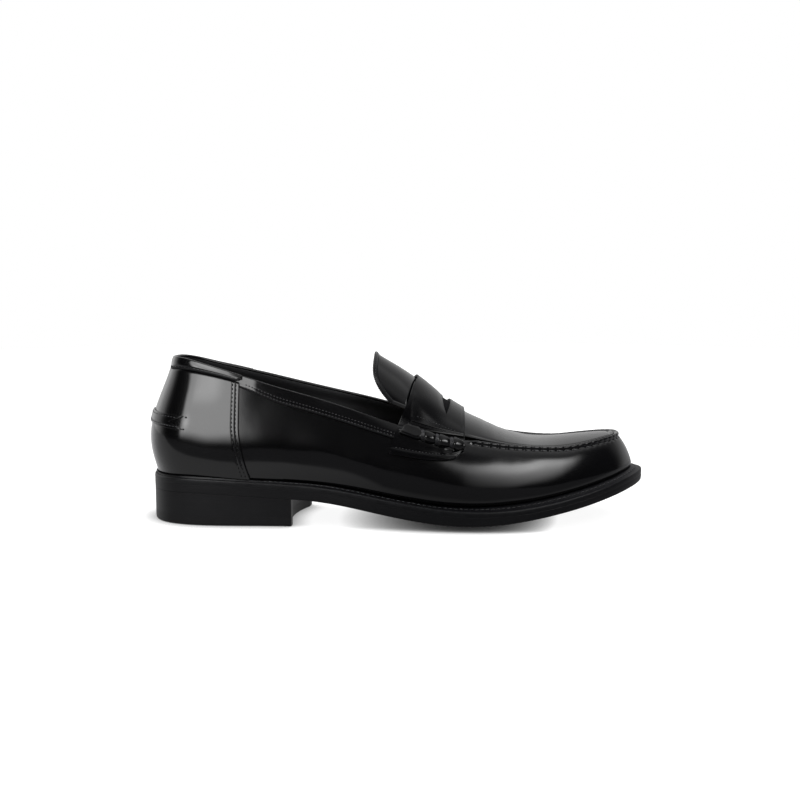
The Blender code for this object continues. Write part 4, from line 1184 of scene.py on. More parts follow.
def apron_plug():
    share = graded(120, 0.75)[None, :]
    even = np.linspace(0, 1, 210)[:, None]
    x = mix(170.0, 281.75, np.sin(np.pi * even / 2) * 0.55 + even * 0.45)
    width = seam(x, 1)[0] - seam(x, -1)[0]
    edge = np.minimum(from_end(share) * width, np.maximum(281.9 - x, 0) * 1.1)
    pinch = np.where(share < 0.5, gather(seam_way(x, -1))[1], gather(seam_way(x, 1))[1])
    lift = smooth(x, 186, 196) * (0.40 * (1 - smooth(edge, 0.5, 1.9)) - 0.26 * bell(edge - 2.5, 0.7)
                                  - 0.05 * pinch * (1 - smooth(edge, 0.3, 1.8)))
    lift = lift + 0.04 * np.sin(0.11 * x + 3 * share) * np.sin(5 * share)
    for crease_x, depth in ((205.0, 0.10), (211.5, 0.13), (218.0, 0.09)):
        lift = lift - depth * bell(x - crease_x - 2.0 * np.sin(3 * share + crease_x), 1.9) \
            * np.sin(np.pi * share) ** 0.7
    # hollow under the strap's slot
    ahead = x - STRAP_SLOT_X - 0.3
    hollow = -0.30 * bell(np.minimum(ahead, 0), 1.6) * bell(np.maximum(ahead, 0), 3.0) \
        * np.clip(1 - ((share - 0.5) / 0.34) ** 2, 0, 1)
    ob = shell("apron_plug_leather", apron(x, share, lift + hollow, 1.15),
               apron(x, share, -LEATHER + 0.35 * hollow, 1.55), UPPER, angle=60, bevel=0.30)
    finish(ob, "upper_leather", "apron_plug", span="flex")


def tongue_rear(share):
    side = np.abs(2 * share - 1)
    return 136.2 - 2.6 * side ** 2 + 12.8 * side ** 9


def distance_from(line):
    """Function giving the distance of each of its points from a line of points."""
    tree = KDTree(len(line))
    for i, point in enumerate(line):
        tree.insert(point, i)
    tree.balance()
    return lambda points: np.array([tree.find(point)[2] for point in points.reshape(-1, 3)]
                                   ).reshape(points.shape[:-1])


def tongue_rim():
    front_x = 172.0
    share = np.linspace(0, 1, 700)
    sides = [apron(np.linspace(front_x, tongue_rear(end), 240), end, 0.0, APRON_INSET)
             for end in (0.0, 1.0)]
    return np.concatenate(sides + [apron(tongue_rear(share), share, 0.0, APRON_INSET)])


rim_distance = distance_from(tongue_rim())


def tongue():
    share = graded(170, 0.6)[None, :]
    x = mix(tongue_rear(share), 172.0, np.linspace(0, 1, 150)[:, None] ** 1.1)
    flat = apron(x, share, 0.0, APRON_INSET)
    edge = rim_distance(flat)
    strip = (0.50 + 0.40 * np.clip(1 - edge / 2.2, 0, 1)) * (1 - smooth(edge, 2.15, 2.5)) \
        * (1 - smooth(x, 158, 164))
    # where the strap's rear edge bears on the tongue, the leather is pressed in a little
    strap_share = np.linspace(0.2, 0.8, 900)
    strap_distance = distance_from(girth(strap_rear(strap_share), strap_share))
    press = 0.75 * bell(strap_distance(flat), 0.75) * smooth(edge, 1.0, 7.0)
    out = strip - 0.12 - press + 0.03 * np.sin(0.5 * x) * np.sin(6 * share)
    ob = shell("tongue_leather", apron(x, share, out, APRON_INSET),
               apron(x, share, -LEATHER + 0.25, APRON_INSET), UPPER, angle=60, bevel=0.32)
    finish(ob, "upper_leather", "tongue", span="tongue")


def beside_rim(share, start, target, steps):
    """x of a line moved, step by step, towards a target distance from the tongue's rim."""
    x = tongue_rear(share) + start
    for _ in range(steps):
        x = x + (target - rim_distance(apron(x, share, 0.0, APRON_INSET)))
    return x


def tongue_stitches():
    """Row on the tongue's edge strip; its normals lean towards the next step to the rim."""
    share = 0.5 + (np.linspace(0.06, 0.94, 240) - 0.5) * 0.97
    points = apron(beside_rim(share, 1.25, 1.2, 2), share, 0.30, APRON_INSET)
    normals = unit(apron(beside_rim(share, 1.25, 1.2, 3), share, 1.3, APRON_INSET) - points)
    stitches("tongue_edge_stitches", [(points + normals * 0.30, normals)], step=1.9, fill=0.70,
             wide=0.36, tall=0.30, span="tongue", sink=0.4)


def tongue_groove_shade_cord():
    """Dark cord in the groove beside the strip: painted shade, a dull dark strand standing for the
    narrow groove's shadow.
    """
    share = 0.5 + (np.linspace(0.04, 0.96, 420) - 0.5) * 0.97
    x = beside_rim(share, 2.9, 2.62, 3)
    points, normals = with_normals(apron, x, share, -0.22, APRON_INSET)
    points, normals = points[x < 160], normals[x < 160]
    aside = unit(np.cross(unit(np.gradient(points, axis=0)), normals))
    turn = np.linspace(0, 2 * np.pi, 11)[:-1, None]
    sections = points[:, None] + aside[:, None] * (0.36 * np.cos(turn)) \
        + normals[:, None] * (0.34 * np.sin(turn))
    ob = sweep("tongue_groove_painted_shade_cord", sections, DULL_THREAD_AND_SHADE_CORD, angle=80)
    finish(ob, "lashing_thread", span="tongue")


def tongue_teeth():
    """Pinked rim: a row of small teeth round the tongue's outline."""
    tooth = [(-0.50, -0.45), (-0.30, 0.12), (0.0, 0.34), (0.30, 0.12), (0.50, -0.45)]
    share = np.linspace(0.0, 1.0, 1600)
    rim = with_normals(apron, tongue_rear(share), share, -0.35, APRON_INSET)
    points, normals = resample(*rim, 1.25)
    verts, faces = [], []
    for i in range(1, len(points) - 1):
        along = unit(points[i + 1] - points[i - 1])
        outward = unit(np.cross(normals[i], along))
        if np.dot(outward, points[i] - np.array([160.0, -1.0, 80.0])) < 0:
            outward = -outward
        base = len(verts)
        for lift, size in ((0.30, 0.82), (0.06, 1.0), (-0.42, 1.0)):
            verts += [points[i] + along * (side * 1.05 * size)
                      + outward * (reach if reach < 0 else reach * size)
                      + normals[i] * (lift + 0.25) for side, reach in tooth]
        faces += [tuple(range(base, base + 5)), tuple(range(base + 10, base + 15))[::-1]]
        for row in (base, base + 5):
            for j in range(5):
                k = (j + 1) % 5
                faces.append((row + j, row + 5 + j, row + 5 + k, row + k))
    ob = mesh_piece("tongue_pinked_rim", np.array(verts), faces, UPPER, weld=False, angle=50)
    finish(ob, "upper_leather", span="tongue")


def apron_linings():
    share = graded(40, 0.5)[None, :]
    x = mix(tongue_rear(share) + 0.5, 170.5, np.linspace(0, 1, 26)[:, None])
    ob = shell("tongue_lining_leather", apron(x, share, -1.16, 4.2), apron(x, share, -2.1, 4.2),
               LINER, bevel=0.25)
    finish(ob, "lining_leather", "tongue_lining", span="tongue")
    x = np.linspace(166.5, 270.0, 90)[:, None]
    sink = 0.35 * (1 - smooth(x, 168, 176))
    ob = shell("vamp_lining_leather", apron(x, share, -1.95 - sink, 7.0),
               apron(x, share, -2.75 - sink, 7.0), LINER, bevel=0.2)
    finish(ob, "lining_leather", "vamp_lining", span="flex")


apron_plug()
tongue()
tongue_stitches()
tongue_groove_shade_cord()
tongue_teeth()
apron_linings()


# ---------------------------------------------------------------- quarters
def rounded(distance, radius):
    """Drop of a rounded edge at a distance from the edge."""
    short = np.clip(radius - np.asarray(distance, float), 0, radius)
    return np.sqrt(np.maximum(radius * radius - short * short, 0)) - radius


def back_ridge(way):
    """Raised line up the back of the heel."""
    across = away(way) * 6.2
    return 0.55 * bell(across - 0.75, 0.75) + 0.10 * bell(across - 2.6, 0.8)


STATION_MM = 17.5               # millimetres per station near the counter's front edge
COUNTER_GAP = 0.12              # gap between the rear collar and the counter


def counter(side, sign):
    rows, share = graded(170)[:, None], graded(64)[None, :]
    way = mix(0.012, counter_edge(share), rows)
    from_front = (counter_edge(share) - way) * STATION_MM
    way = np.mod(sign * way, ROUND)
    top = band(way) + COUNTER_GAP
    high = mix(0.002, high_at(way, top), share)
    groove = -0.12 * bell(from_front - 1.5, 0.5) - 0.12 * bell(from_front - 3.4, 0.5) \
        + 0.08 * bell(from_front - 2.45, 0.6)
    out = lap_out(way) + 0.12 * smooth(away(way), 3.7, 4.6) + back_ridge(way) + sway(way, high) \
        + groove - 0.25 * (1 - smooth(drop_at(way, high) - top, 0.0, 1.0))
    ob = shell("counter_leather_" + side, wall(way, high, out),
               wall(way, high, lap(way) - LEATHER), UPPER, angle=60, bevel=0.40)
    finish(ob, "upper_leather", "counter_" + side)
    lines = []
    for back in (1.5, 3.4):                          # two stitch rows along the front edge
        share = np.linspace(0.02, 0.975, 160)
        way = sign * (counter_edge(share) - back / STATION_MM)
        high = high_at(way, band(way) + COUNTER_GAP) * share
        lines.append(with_normals(wall, way, high, lap_out(way) + 0.06))
    stitches("counter_stitches_" + side, lines, step=2.45, fill=0.74, wide=0.5, tall=0.42,
             material=DULL_THREAD_AND_SHADE_CORD)


def collar_piece(name, ways, depth, out_at, inner_out, node):
    """Collar strip folded over the topline, from its lower edge up and over to the inside."""
    inside = -1.5
    outer, inner = [], []
    low = depth(ways)
    drops = [low, low - 0.14, low - 0.35, low - 0.7, low - 1.2]
    drops += [low - 1.2 + (3.2 - low) * share for share in np.linspace(0.08, 1, 16)]
    drops += [drop + 0 * low for drop in (1.5, 1.1, 0.8, 0.55)]
    for drop in drops:
        outer.append(below(ways, drop, out_at(ways, drop)))
        inner.append(below(ways, drop, inner_out(ways)))
    # over the top: an arc from the outer face to the inside
    face = out_at(ways, 0.3)
    for k, degrees in enumerate(np.linspace(20, 180, 9)):
        turn = math.radians(degrees)
        outer.append(below(ways, max(0.55 - 0.55 * math.sin(turn), 0),
                           (face + inside) / 2 + (face - inside) / 2 * math.cos(turn)))
        inner.append(below(ways, 0.62 + 0.05 * (8 - k),
                           mix(np.minimum(inner_out(ways), face - 0.35), inside + 0.3, k / 8)))
    for drop in (1.0, 2.2, 3.6):
        outer.append(below(ways, drop, inside))
        inner.append(below(ways, drop + 0.1, inside + 0.55))
    ob = shell(name, np.stack(outer, 1), np.stack(inner, 1), (UPPER, DARK_EDGE), edge_slot=1,
               slot_at=lambda i, j: 1 if j < 4 else 0, angle=60)
    finish(ob, "upper_leather", node)


def rear_face(way):
    return np.minimum(lap_out(way), 1.45) + 0.42 * (1 - 0.6 * smooth(away(way), 4.5, 5.1))


def rear_collar():
    def depth(way):
        return band(way) - 2.1 * smooth(away(way), 4.84, 5.10) ** 2

    def out_at(way, drop):
        over = band(way) - drop
        padding = smooth(away(way), 1.0, 2.2) * (1 - smooth(away(way), 4.5, 5.1))
        return (rear_face(way) - 0.16 * bell(over - 1.3, 0.5)
                + rounded(np.maximum(over, 0) + 0.02, 0.4) + 0.35 * bell(drop - 3.0, 2.2)
                + back_ridge(way) * 0.25 * smooth(drop, 1.0, 4.0)
                + 0.10 * np.clip(over, 0, 5) * padding)

    collar_piece("collar_leather_rear", np.linspace(-5.10, 5.10, 360), depth, out_at,
                 lambda way: lap(way) * 0.8 - 0.9, "collar_rear")


def front_face(way):
    return 0.45 + 0.85 * smooth(away(way), 5.0, 5.55)


ROWS_UP = (2.9, 1.1)            # the front collars' stitch rows, up from the lower edge


def front_collar(side, sign):
    def out_at(way, drop):
        over = strip_depth(way) - drop
        grooves = sum(0.05 * bell(over - row, 0.5) for row in ROWS_UP)
        return front_face(way) - grooves + rounded(np.maximum(over, 0) + 0.02, 0.4)

    collar_piece("collar_leather_" + side, sign * np.linspace(4.88, 9.44, 262), strip_depth,
                 out_at, lambda way: 0.12 + 0 * way, "collar_" + side)
    way = sign * np.linspace(5.2, 9.40, 240)
    lines = [with_normals(below, way, strip_depth(way) - row, front_face(way) - 0.06)
             for row in ROWS_UP]
    # the two faces share one drop, so the normals stay square to the wall
    stitches("collar_stitches_" + side, lines, step=2.0, fill=0.70, wide=0.55, tall=0.46)


def rear_collar_stitches():
    way = np.linspace(-5.06, 5.06, 420)
    line = with_normals(below, way, band(way) - 1.3, rear_face(way) - 0.08)
    stitches("collar_stitches_rear", [line], step=2.45, fill=0.74, wide=0.55, tall=0.42,
             material=DULL_THREAD_AND_SHADE_CORD)


def wall_height(way):
    return top_z(way) - feather(way)[2]


def wall_linings():
    way, share = np.linspace(-9.5, 9.5, 300)[:, None], np.linspace(0, 1, 26)[None, :]
    high = mix(1.9 / wall_height(way), high_at(way, 1.3), share)
    out = -2.8 + 1.2 * smooth(high, 0.74, 0.86)
    edge = rounded(drop_at(way, high) - 1.3, 0.5)
    ob = shell("quarter_lining_leather", wall(way, high, out),
               wall(way, high, out - LINING - edge), LINER, angle=60, bevel=0.2)
    finish(ob, "lining_leather", "quarter_lining")
    way, share = np.linspace(9.6, ROUND - 9.6, 200)[:, None], np.linspace(0, 1, 14)[None, :]
    high = mix(2.1 / wall_height(way), 0.84, share)
    ob = shell("forepart_lining_leather", wall(way, high, -2.6), wall(way, high, -2.6 - LINING),
               LINER, angle=60, bevel=0.2)
    finish(ob, "lining_leather", "forepart_lining", span="flex")


def tab_reach(share):
    """Half length of the heel tab, in stations, notched at mid height."""
    return 3.15 - 0.62 * (1 - np.abs(2 * share - 1)) ** 1.2


def tab_high(way, share):
    """Height on the wall at a share of the heel tab's width."""
    side = smooth(np.abs(way), 0.3, 3.1)
    return mix(0.434 - 0.034 * side, 0.530 - 0.013 * side, share)


def tab_ridge(way):
    return 0.25 * bell(way * 6.2, 1.6)


def heel_tab():
    share = np.linspace(0, 1, 26)[None, :]
    way = np.linspace(-1, 1, 190)[:, None] * tab_reach(share)
    high = tab_high(way, share)
    edge = from_end(share) * 6.8
    out = 1.45 + 0.14 * np.clip(edge / 2.2, 0, 1) - 0.12 * bell(edge - 1.1, 0.4) + tab_ridge(way)
    ob = shell("heel_tab_leather", wall(way, high, out), wall(way, high, 0.2), UPPER, angle=60,
               bevel=0.35)
    finish(ob, "upper_leather", "heel_tab")
    tacks = []                                       # they close the two tips of each end
    for sign in (-1, 1):
        for share, reach in ((0.05, 3.22), (0.95, 3.28)):
            way = np.full(3, sign * reach)
            high = tab_high(way, share) + np.array([-0.008, 0.0, 0.008])
            tacks.append(with_normals(wall, way, high, 0.30))
    stitches("heel_tab_tacks", tacks, step=99.0, fill=1.0, wide=1.0, tall=0.9)
    lines = []
    for share in (0.17, 0.83):
        way = np.linspace(-1, 1, 200) * (tab_reach(share) - 0.12)
        lines.append(with_normals(wall, way, tab_high(way, share), 1.42 + tab_ridge(way)))
    stitches("heel_tab_stitches", lines, step=2.2, fill=0.72, wide=0.42, tall=0.38)


WALL_SIDES = (("lateral", 1), ("medial", -1))       # sign of the way on each side
for side_name, way_sign in WALL_SIDES:
    counter(side_name, way_sign)
rear_collar()
for side_name, way_sign in WALL_SIDES:
    front_collar(side_name, way_sign)
rear_collar_stitches()
wall_linings()
heel_tab()


# ---------------------------------------------------------------- saddle strap
def slot_x(share):
    """Middle line of the slot, kept inside the strap's width."""
    rear, front = strap_rear(share), strap_front(share)
    return np.minimum(STRAP_SLOT_X, rear + 0.72 * (front - rear))


def slot_edges(share):
    middle, half = slot_x(share), slot_half(share)
    return middle - SLOT_BACK * half, middle + SLOT_FORE * half


def fold_top(x):
    """Upper limit, as a girth share, of the flat fold above the roll."""
    return 0.237 + 0.005 * np.clip((x - 157) / 33, 0, 1)


# wrinkles of the strap's lower parts: (x, girth share from the end, height, width in x,
# width in share, tilt in mm of x per share)
WRINKLES = [
    (181.5, .128, .40, 2.0, .010, 110), (184.6, .112, -.30, 1.5, .009, 90),
    (177.5, .132, .34, 1.7, .009, -60), (186.0, .132, .34, 1.2, .010, 120),
    (179.6, .106, -.24, 1.9, .009, 60), (183.2, .092, .36, 1.6, .010, 150),
    (174.2, .128, -.18, 2.2, .012, 0), (178.6, .080, .26, 1.8, .010, 100),
    (172.0, .108, .12, 3.2, .014, 40), (163.0, .120, .10, 5.0, .024, 0),
    (156.0, .100, -.08, 5.0, .030, 0), (186.6, .108, .22, 1.1, .012, 160)]


def puff(x, share):
    """Swell of the strap's leather between its edges and folds."""
    end = from_end(share)
    rear_x, front_x, half = strap_rear(share), strap_front(share), slot_half(share)
    slot_rear, slot_front = slot_edges(share)
    across = np.clip((x - rear_x) / np.maximum(slot_rear - rear_x, 1), 0, 1)
    rear = 0.30 * np.sin(np.pi * across) * smooth(end, 0.25, 0.36)
    lip = -0.50 * smooth(half, 0.0, 0.6) * bell(x - slot_rear, 2.6) \
        + 0.12 * smooth(half, 0.0, 0.3) * bell(x - slot_front - 0.9, 0.9)
    top, lean = fold_top(x), (end - 0.22) * 60
    along = smooth(x, 156.6 + lean, 157.8 + lean) * (1 - smooth(x, 188.6, 189.4))
    fold = (1.05 * smooth(end, 0.200, 0.206) * (1 - smooth(end, top - 0.005, top))
            - 0.28 * bell(end - top - 0.003, 0.004) - 0.45 * bell(end - 0.199, 0.005)
            + 0.14 * bell(end - top + 0.008, 0.004)) * along
    # the bend where the strap leaves the collar is drawn round
    turn = -0.40 * bell(x - 158.6, 3.6) * smooth(end, 0.245, 0.262) * (1 - smooth(end, 0.30, 0.36))
    wrinkles = sum(height * bell(x - at - (end - centre) * tilt, wide)
                   * bell(end - centre, spread * 1.35)
                   for at, centre, height, wide, spread, tilt in WRINKLES)
    pucker = -sum(0.20 * bell(x - lash, 1.5) for lash in LASH_X) * bell(end - 0.150, 0.012)
    low = 0.32 * bell(end - STRAP_LOW - 0.022, 0.012) - 0.16 * bell(end - STRAP_LOW - 0.040, 0.008)
    edge = -0.03 * bell(x - rear_x - 1.3, 0.6) - 0.08 * bell(front_x - x - 1.4, 0.5)
    return rear + lip + fold + turn + wrinkles + pucker + low + edge * smooth(end, 0.25, 0.30)


def saddle_strap():
    share = np.unique(np.concatenate([np.linspace(*part) for part in (
        (STRAP_LOW, 0.155, 76), (0.155, 0.275, 70), (0.275, 0.725, 151), (0.725, 0.845, 70),
        (0.845, 1 - STRAP_LOW, 76))]))
    half = slot_half(share)
    share = share[:, None]
    slot_rear, slot_front = slot_edges(share)
    behind, ahead = 64, 32                           # columns on each side of the slot
    x = np.concatenate([mix(strap_rear(share), slot_rear, graded(behind)),
                        mix(slot_front, strap_front(share), graded(ahead))], 1)
    low, swell = tab_low(x, share), puff(x, share)
    ob = shell("saddle_strap_leather", girth(x, low, STRAP_OUT + swell),
               girth(x, low, STRAP_OUT - 1.4 + np.clip(swell, -0.2, 0.3) * 0.5), (STRAP, EDGE),
               skip=lambda i, j: j == behind - 1 and half[i] + half[i + 1] > 1e-9,
               edge_slot=1, angle=55, bevel=0.26)
    finish(ob, "upper_leather", "saddle_strap")


def paint_slot_shade():
    """Dark matte fill in the strap's slot, standing for the shadow seen through it: painted shade.
    """
    share, across = np.linspace(0.362, 0.638, 60)[:, None], np.linspace(0, 1, 12)[None, :]
    x = mix(*slot_edges(share), across)
    ob = shell("strap_slot_painted_shade", girth(x, share, 0.50 + 0.15 * (2 * across - 1) ** 2),
               girth(x, share, 0.08), PAINTED_SLOT_SHADE, angle=60)
    finish(ob, "lining_leather")


def strap_stitches():
    def on_strap(x, share):
        return with_normals(girth, x, tab_low(x, share), STRAP_OUT + puff(x, share) - 0.04)

    row = STRAP_LOW + 0.040
    low_x = np.linspace(strap_rear(row) + 2.0, strap_front(row) - 3.0, 220)
    low = np.full(220, row)                          # along the strap's lower edge
    fold_x = np.linspace(161.0, 184.5, 160)
    fold = fold_top(fold_x) + 0.033 - 0.017 * smooth(fold_x, 171, 184.5)    # above the fold
    lines = [on_strap(low_x, low), on_strap(fold_x, fold),
             on_strap(low_x, 1 - low), on_strap(fold_x, 1 - fold)]
    stitches("strap_stitches", lines, step=2.0, fill=0.66, wide=0.42, tall=0.34)


saddle_strap()
paint_slot_shade()
strap_stitches()


# ---------------------------------------------------------------- beef rolls and their lashings
def roll_share(x):
    """Girth share of the roll's axis: it runs down towards the toe."""
    return np.interp(x, [150, 156, 163, 169, 177, 186, 192],
                     [0.177, 0.175, 0.170, 0.162, 0.154, 0.147, 0.144])


def roll_frame(x, side):
    """Axis of the roll, with unit directions up the girth towards the instep, and outwards."""
    share = roll_share(x) if side < 0 else 1 - roll_share(x)
    axis, normal = with_normals(girth, x, share, 0.0)
    up = unit(girth(x, share + 0.03) - girth(x, share - 0.03)) * -side
    sag = np.maximum(0, np.maximum(*(((girth(x, share + step) - axis) * normal).sum(-1)
                                     for step in (0.04, -0.04))))
    return axis + normal * (STRAP_OUT + 0.1 + sag)[..., None], up, normal


def roll_radius(x):
    waist = sum(bell(x - lash, 1.45) for lash in LASH_X)
    waist = waist * (1 - 0.35 * (1 - smooth(x, 165, 172)))
    middle, half = (ROLL_START + ROLL_END) / 2, (ROLL_END - ROLL_START) / 2 + 0.2
    power = np.where(x < middle, 44, 18)
    end = np.clip(1 - np.abs((x - middle) / half) ** power, 0.03, 1) ** 0.5
    grow = 0.78 + 0.22 * smooth(x, 158, 170)
    # each lobe leans towards the toe: fuller at its rear
    lean = sum(-slope * (x - lobe) * (1 - smooth(np.abs(x - lobe), 2.7, 3.7))
               for lobe, slope in ((169.0, 0.10), (177.4, 0.14), (185.6, 0.19)))
    return (3.45 * grow - 1.0 * waist + lean) * end


def beef_roll(name, side):
    x = (ROLL_START + (ROLL_END - ROLL_START) * graded(300, 0.2))[:, None]
    turn = np.linspace(-0.42, np.pi + 0.42, 38)[None, :]
    cosine, sine = np.cos(turn), np.sin(turn)        # cosine +1 towards the instep, -1 the sole
    slant = 2.6 * (1 - smooth(x, 154, 164)) * cosine # the rear end is cut on the slant
    axis, up, normal = roll_frame(x + slant, side)
    near = np.min(np.abs(x - np.array(LASH_X)), axis=1)[:, None]
    pleat = 0.04 * np.cos(9 * turn) * bell(near - 1.9, 0.9) \
        + 0.02 * np.sin(3 * turn + 0.9 * x) * (near > 1)
    radius = roll_radius(x)
    radius = radius + pleat * np.clip(radius / 3, 0, 1)
    # a nearly flat face between two rounded shoulders, with a crease under the upper one
    face = 1 - 0.13 * bell(turn - 1.52, 0.55) - 0.16 * bell(turn - 0.70, 0.16) \
        - 0.10 * bell(turn - (np.pi - 0.25), 0.22)
    square = 1 - smooth(x, 160, 166)                 # the tail behind the first lashing lies flat
    tall = radius * (1.14 + 0.38 * (1 - smooth(x, 161, 166))) * face ** 0.3
    deep = radius * (1.22 - 0.50 * square) * face
    cosine = np.sign(cosine) * np.abs(cosine) ** (1 - 0.45 * square)
    sine = np.sign(sine) * np.abs(sine) ** (1 - 0.55 * square)
    sections = axis + up * (cosine * tall)[..., None] + normal * (sine * deep)[..., None]
    ob = sweep("beef_roll_leather_" + name, sections, UPPER, angle=70)
    finish(ob, "upper_leather", "beef_roll_" + name)


def lashing(name, side, number, lash_x):
    """Three twisted cords side by side round the roll."""
    rings, sides, thick = 46, 10, 0.40
    turn = np.linspace(-0.62, np.pi + 0.62, rings)
    around = 2 * np.pi * np.arange(sides) / sides
    twist = thick * (1 + 0.10 * np.cos(2 * around + 2.6 * np.arange(rings)[:, None]))
    cords, faces = [], []
    for k, shift in enumerate((-0.66, 0.0, 0.66)):
        axis, up, normal = roll_frame(lash_x + shift + 0.14 * np.sin(2 * turn + k), side)
        radius = roll_radius(lash_x) + 0.26 + 0.10 * (shift == 0)
        cosine, sine = np.cos(turn)[:, None], np.sin(turn)[:, None]
        line = axis + up * (cosine * radius * 1.20) + normal * (sine * radius * 1.16)
        outward = unit(up * cosine + normal * sine)
        aside = unit(np.cross(unit(np.gradient(line, axis=0)), outward))
        cords.append(line[:, None] + aside[:, None] * (np.cos(around) * twist)[..., None]
                     + outward[:, None] * (np.sin(around) * twist * 0.9)[..., None])
        faces += tube_faces(rings, sides, base=k * rings * sides)
    ob = mesh_piece("lashing_cords_%s_%d" % (name, number), np.array(cords), faces, THREAD,
                    weld=False, angle=70)
    finish(ob, "lashing_thread", "lashing_%s_%d" % (name, number))


for side_name, roll_side in (("lateral", -1), ("medial", 1)):
    beef_roll(side_name, roll_side)
    for lash_index, lash_at in enumerate(LASH_X):
        lashing(side_name, roll_side, lash_index + 1, lash_at)


# ---------------------------------------------------------------- floor, light, camera (metres)
def stage_mesh(name, verts, material):
    """One-faced mesh that belongs to the stage."""
    mesh = bpy.data.meshes.new(name)
    mesh.from_pydata(verts, [], [tuple(range(len(verts)))])
    mesh.materials.append(material)
    ob = add_object(name, mesh)
    return ob


def direction(azimuth, elevation):
    """Unit vector; azimuth 0 is the camera's side, 90 the toe's, in degrees."""
    azimuth, elevation = math.radians(azimuth), math.radians(elevation)
    return np.array([math.sin(azimuth) * math.cos(elevation),
                     -math.cos(azimuth) * math.cos(elevation), math.sin(elevation)])


def floor_material():
    """White to the camera, with a soft contact shadow. Mirrored in the leather it is bright close
    to the shoe and dark farther out."""
    material = bpy.data.materials.new("pale_floor")
    graph = Graph(material)
    seen = graph.apply("BsdfDiffuse", Color=(0.24, 0.24, 0.24, 1))
    dim = graph.apply("BsdfDiffuse", Color=(0.10, 0.10, 0.105, 1))
    x, y, _ = graph.node("SeparateXYZ",
                         Vector=graph.node("NewGeometry").outputs["Position"]).outputs
    # contact shadow, reaching less far towards the toe
    shadow = graph.node("AmbientOcclusion", Distance=0.016, samples=6)
    graph.feed(shadow.inputs["Distance"],
               graph.remap(x, source=(-0.04, 0.10), to=(0.013, 0.008)))
    level_seen = graph.calc("MULTIPLY", graph.calc("POWER", shadow.outputs["AO"], 1.5), 0.93)
    glow = graph.node("Emission", Color=(1, 1, 1, 1), Strength=0.62)
    graph.feed(glow.inputs["Strength"], level_seen)
    # mirrored: the bright part's limit in y by x, and its level
    limit = graph.remap(x, source=(-0.110, -0.025), to=(-0.152, -0.070))
    inside = graph.remap(graph.calc("SUBTRACT", y, limit), source=(-0.008, 0.008), soft=True)
    strength = graph.remap(x, source=(-0.09, 0.0), to=(0.46, 0.17))
    mirrored = graph.apply("Emission", Color=(1, 1, 1, 1),
                           Strength=graph.calc("MULTIPLY", inside, strength))
    path = graph.node("LightPath").outputs
    unseen = graph.apply("MixShader", path["Is Glossy Ray"], dim,
                         graph.apply("AddShader", dim, mirrored))
    to_camera = graph.apply("AddShader", seen, glow.outputs[0])
    graph.node("OutputMaterial",
               Surface=graph.apply("MixShader", path["Is Camera Ray"], unseen, to_camera))
    return material


def floor():
    radius, corners = 1.3, 96
    turns = [2 * math.pi * k / corners for k in range(corners)]
    stage_mesh("floor", [(math.cos(turn) * radius, math.sin(turn) * radius, -0.0002)
                         for turn in turns], floor_material())


def overhead_softbox():
    middle, distance, width, depth, radiance = np.array([0.0, 0.0, 0.05]), 1.7, 2.4, 1.7, 4.2
    spot = middle + distance * direction(170, 82)
    light = bpy.data.lights.new("overhead_softbox", "AREA")
    light.shape, light.size, light.size_y = "RECTANGLE", width, depth
    light.energy = radiance * math.pi * width * depth
    light.spread = math.radians(180)
    ob = bpy.data.objects.new("overhead_softbox", light)
    ob.location = spot
    ob.rotation_euler = Vector(middle - spot).to_track_quat("-Z", "Y").to_euler()
    ob.visible_glossy = False
    bpy.context.scene.collection.objects.link(ob)


PANEL_Y = -0.29


def panel_material():
    """Soft-edged cloth with two brighter lamps behind it."""
    material = bpy.data.materials.new("softbox_cloth")
    graph = Graph(material)
    position = graph.node("NewGeometry").outputs["Position"]
    x, _, z = graph.node("SeparateXYZ", Vector=position).outputs

    def fade(value, start, end, first, last):
        return graph.remap(value, source=(start, end), to=(first, last), soft=True)

    along = graph.calc("MULTIPLY", fade(x, -0.430, -0.370, 0, 1), fade(x, -0.178, -0.116, 1, 0))
    upright = graph.calc("MULTIPLY", fade(z, 0.035, 0.095, 0, 1), fade(z, 0.26, 0.30, 1, 0))
    glow = graph.calc("MULTIPLY", graph.calc("MULTIPLY", along, upright), 6.3)
    for lamp_x, lamp_z, reach, strength in ((-0.276, 0.235, 0.055, 3.3),
                                            (-0.338, 0.129, 0.050, 4.0)):
        away_from = graph.distance(position, (lamp_x, PANEL_Y, lamp_z))
        glow = graph.calc("ADD", glow, fade(away_from, 0.0, reach, strength, 0.0))
    graph.node("OutputMaterial",
               Surface=graph.apply("Emission", Color=(1, 1, 1, 1), Strength=glow))
    return material


def heel_side_panel():
    """Softbox on the camera's side near the heel, only mirrored in the leather."""
    corners = ((-0.45, 0.02), (-0.09, 0.02), (-0.09, 0.32), (-0.45, 0.32))
    ob = stage_mesh("left_softbox_panel", [(x, PANEL_Y, z) for x, z in corners], panel_material())
    for ray in ("camera", "diffuse", "shadow", "transmission", "volume_scatter"):
        setattr(ob, "visible_" + ray, False)


# brightness of the world's panel: (position, level), by depth under its upper edge and by azimuth
PANEL_BY_DEPTH = [
    (0.03, 0.0), (0.10, 0.06), (0.15, 0.45), (0.20, 1.0), (0.30, 1.0), (0.42, 0.62),
    (0.50, 0.44), (0.62, 0.30), (0.72, 0.20), (0.82, 0.08), (0.90, 0.0)]
PANEL_BY_AZIMUTH = [
    (0.01, 0.0), (0.05, 0.18), (0.10, 0.30), (0.19, 0.53), (0.28, 0.74), (0.38, 1.0),
    (0.50, 0.90), (0.61, 0.62), (0.70, 0.26), (0.80, 0.0)]


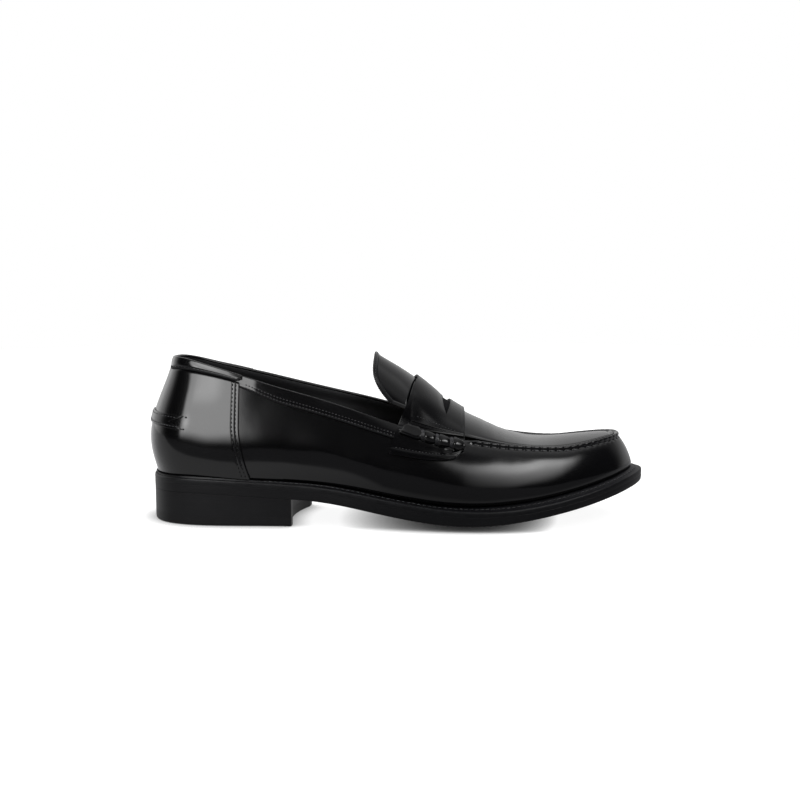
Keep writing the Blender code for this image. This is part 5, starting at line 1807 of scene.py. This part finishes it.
def studio_world():
    """White behind the shoe, dark on the camera's side, and a large soft panel up on the toe's
    side. The camera itself sees plain white."""
    world = bpy.data.worlds.new("studio")
    bpy.context.scene.world = world
    graph = Graph(world)
    calc = graph.calc
    x, y, z = graph.node("SeparateXYZ",
                         Vector=graph.node("TexCoord").outputs["Generated"]).outputs

    def fade(value, start, end, first, last):
        return graph.remap(value, source=(start, end), to=(first, last), soft=True)

    def curve(value, stops):
        return graph.ramp(value, [(position, (lit,) * 3) for position, lit in stops])

    # azimuth (0 the camera's side, 90 the toe's) and elevation, in degrees
    azimuth = calc("MULTIPLY", calc("ARCTAN2", x, calc("MULTIPLY", y, -1.0)), 180 / math.pi)
    elevation = calc("MULTIPLY", calc("ARCSINE", z), 180 / math.pi)
    # the room is white behind; it darkens later on the toe's side, the heel's has a bright wall
    heel_side = calc("ADD", fade(y, -0.30, 0.35, 0.030, 0.50),
                     calc("MULTIPLY", fade(y, -0.12, 0.35, 0.0, 0.62),
                          fade(x, -0.30, -0.75, 0.0, 1.0)))
    toe_side = fade(calc("ADD", y, fade(elevation, 30, 58, 0.0, 0.35)), 0.05, 0.60, 0.030, 0.50)
    toeward = fade(x, -0.20, 0.20, 0.0, 1.0)
    room = calc("ADD", calc("MULTIPLY", toe_side, toeward),
                calc("MULTIPLY", heel_side, calc("SUBTRACT", 1.0, toeward)))
    # the panel's upper edge climbs with azimuth; it is brightest just under that edge
    top = graph.remap(azimuth, source=(9, 46), to=(37.5, 56.0))
    depth = calc("SUBTRACT", top, elevation)
    by_depth = curve(calc("DIVIDE", calc("ADD", depth, 10.0), 60.0), PANEL_BY_DEPTH)
    by_azimuth = curve(calc("DIVIDE", azimuth, 90.0), PANEL_BY_AZIMUTH)
    cut = fade(calc("ADD", depth, calc("MULTIPLY", azimuth, 1.0)), 58, 82, 1.0, 0.0)
    panel = calc("MULTIPLY", calc("MULTIPLY", calc("MULTIPLY", by_depth, by_azimuth), cut), 8.7)
    zenith = fade(elevation, 52, 68, 0.0, 0.40)
    total = calc("ADD", calc("ADD", room, panel), zenith)
    lit_room = graph.apply("Background", Color=(1, 1, 1, 1), Strength=total)
    white = graph.apply("Background", Color=(1, 1, 1, 1), Strength=1.0)
    is_camera = graph.node("LightPath").outputs["Is Camera Ray"]
    graph.node("OutputWorld", Surface=graph.apply("MixShader", is_camera, lit_room, white))


def camera():
    target = place((150.0, 0.0, 50.0))[0]            # middle of the shoe's length
    back = direction(1.0, 8.5)
    lens = bpy.data.cameras.new("camera")
    ob = add_object("camera", lens)
    lens.sensor_width = 36.0
    lens.lens = 62.18
    lens.shift_x, lens.shift_y = 0.0023, 0.0432
    ob.location = target + back * 0.850
    ob.rotation_euler = Vector(back).to_track_quat("Z", "Y").to_euler()
    bpy.context.scene.camera = ob


floor()
overhead_softbox()
heel_side_panel()
studio_world()
camera()
bpy.context.scene.view_settings.view_transform = "Standard"
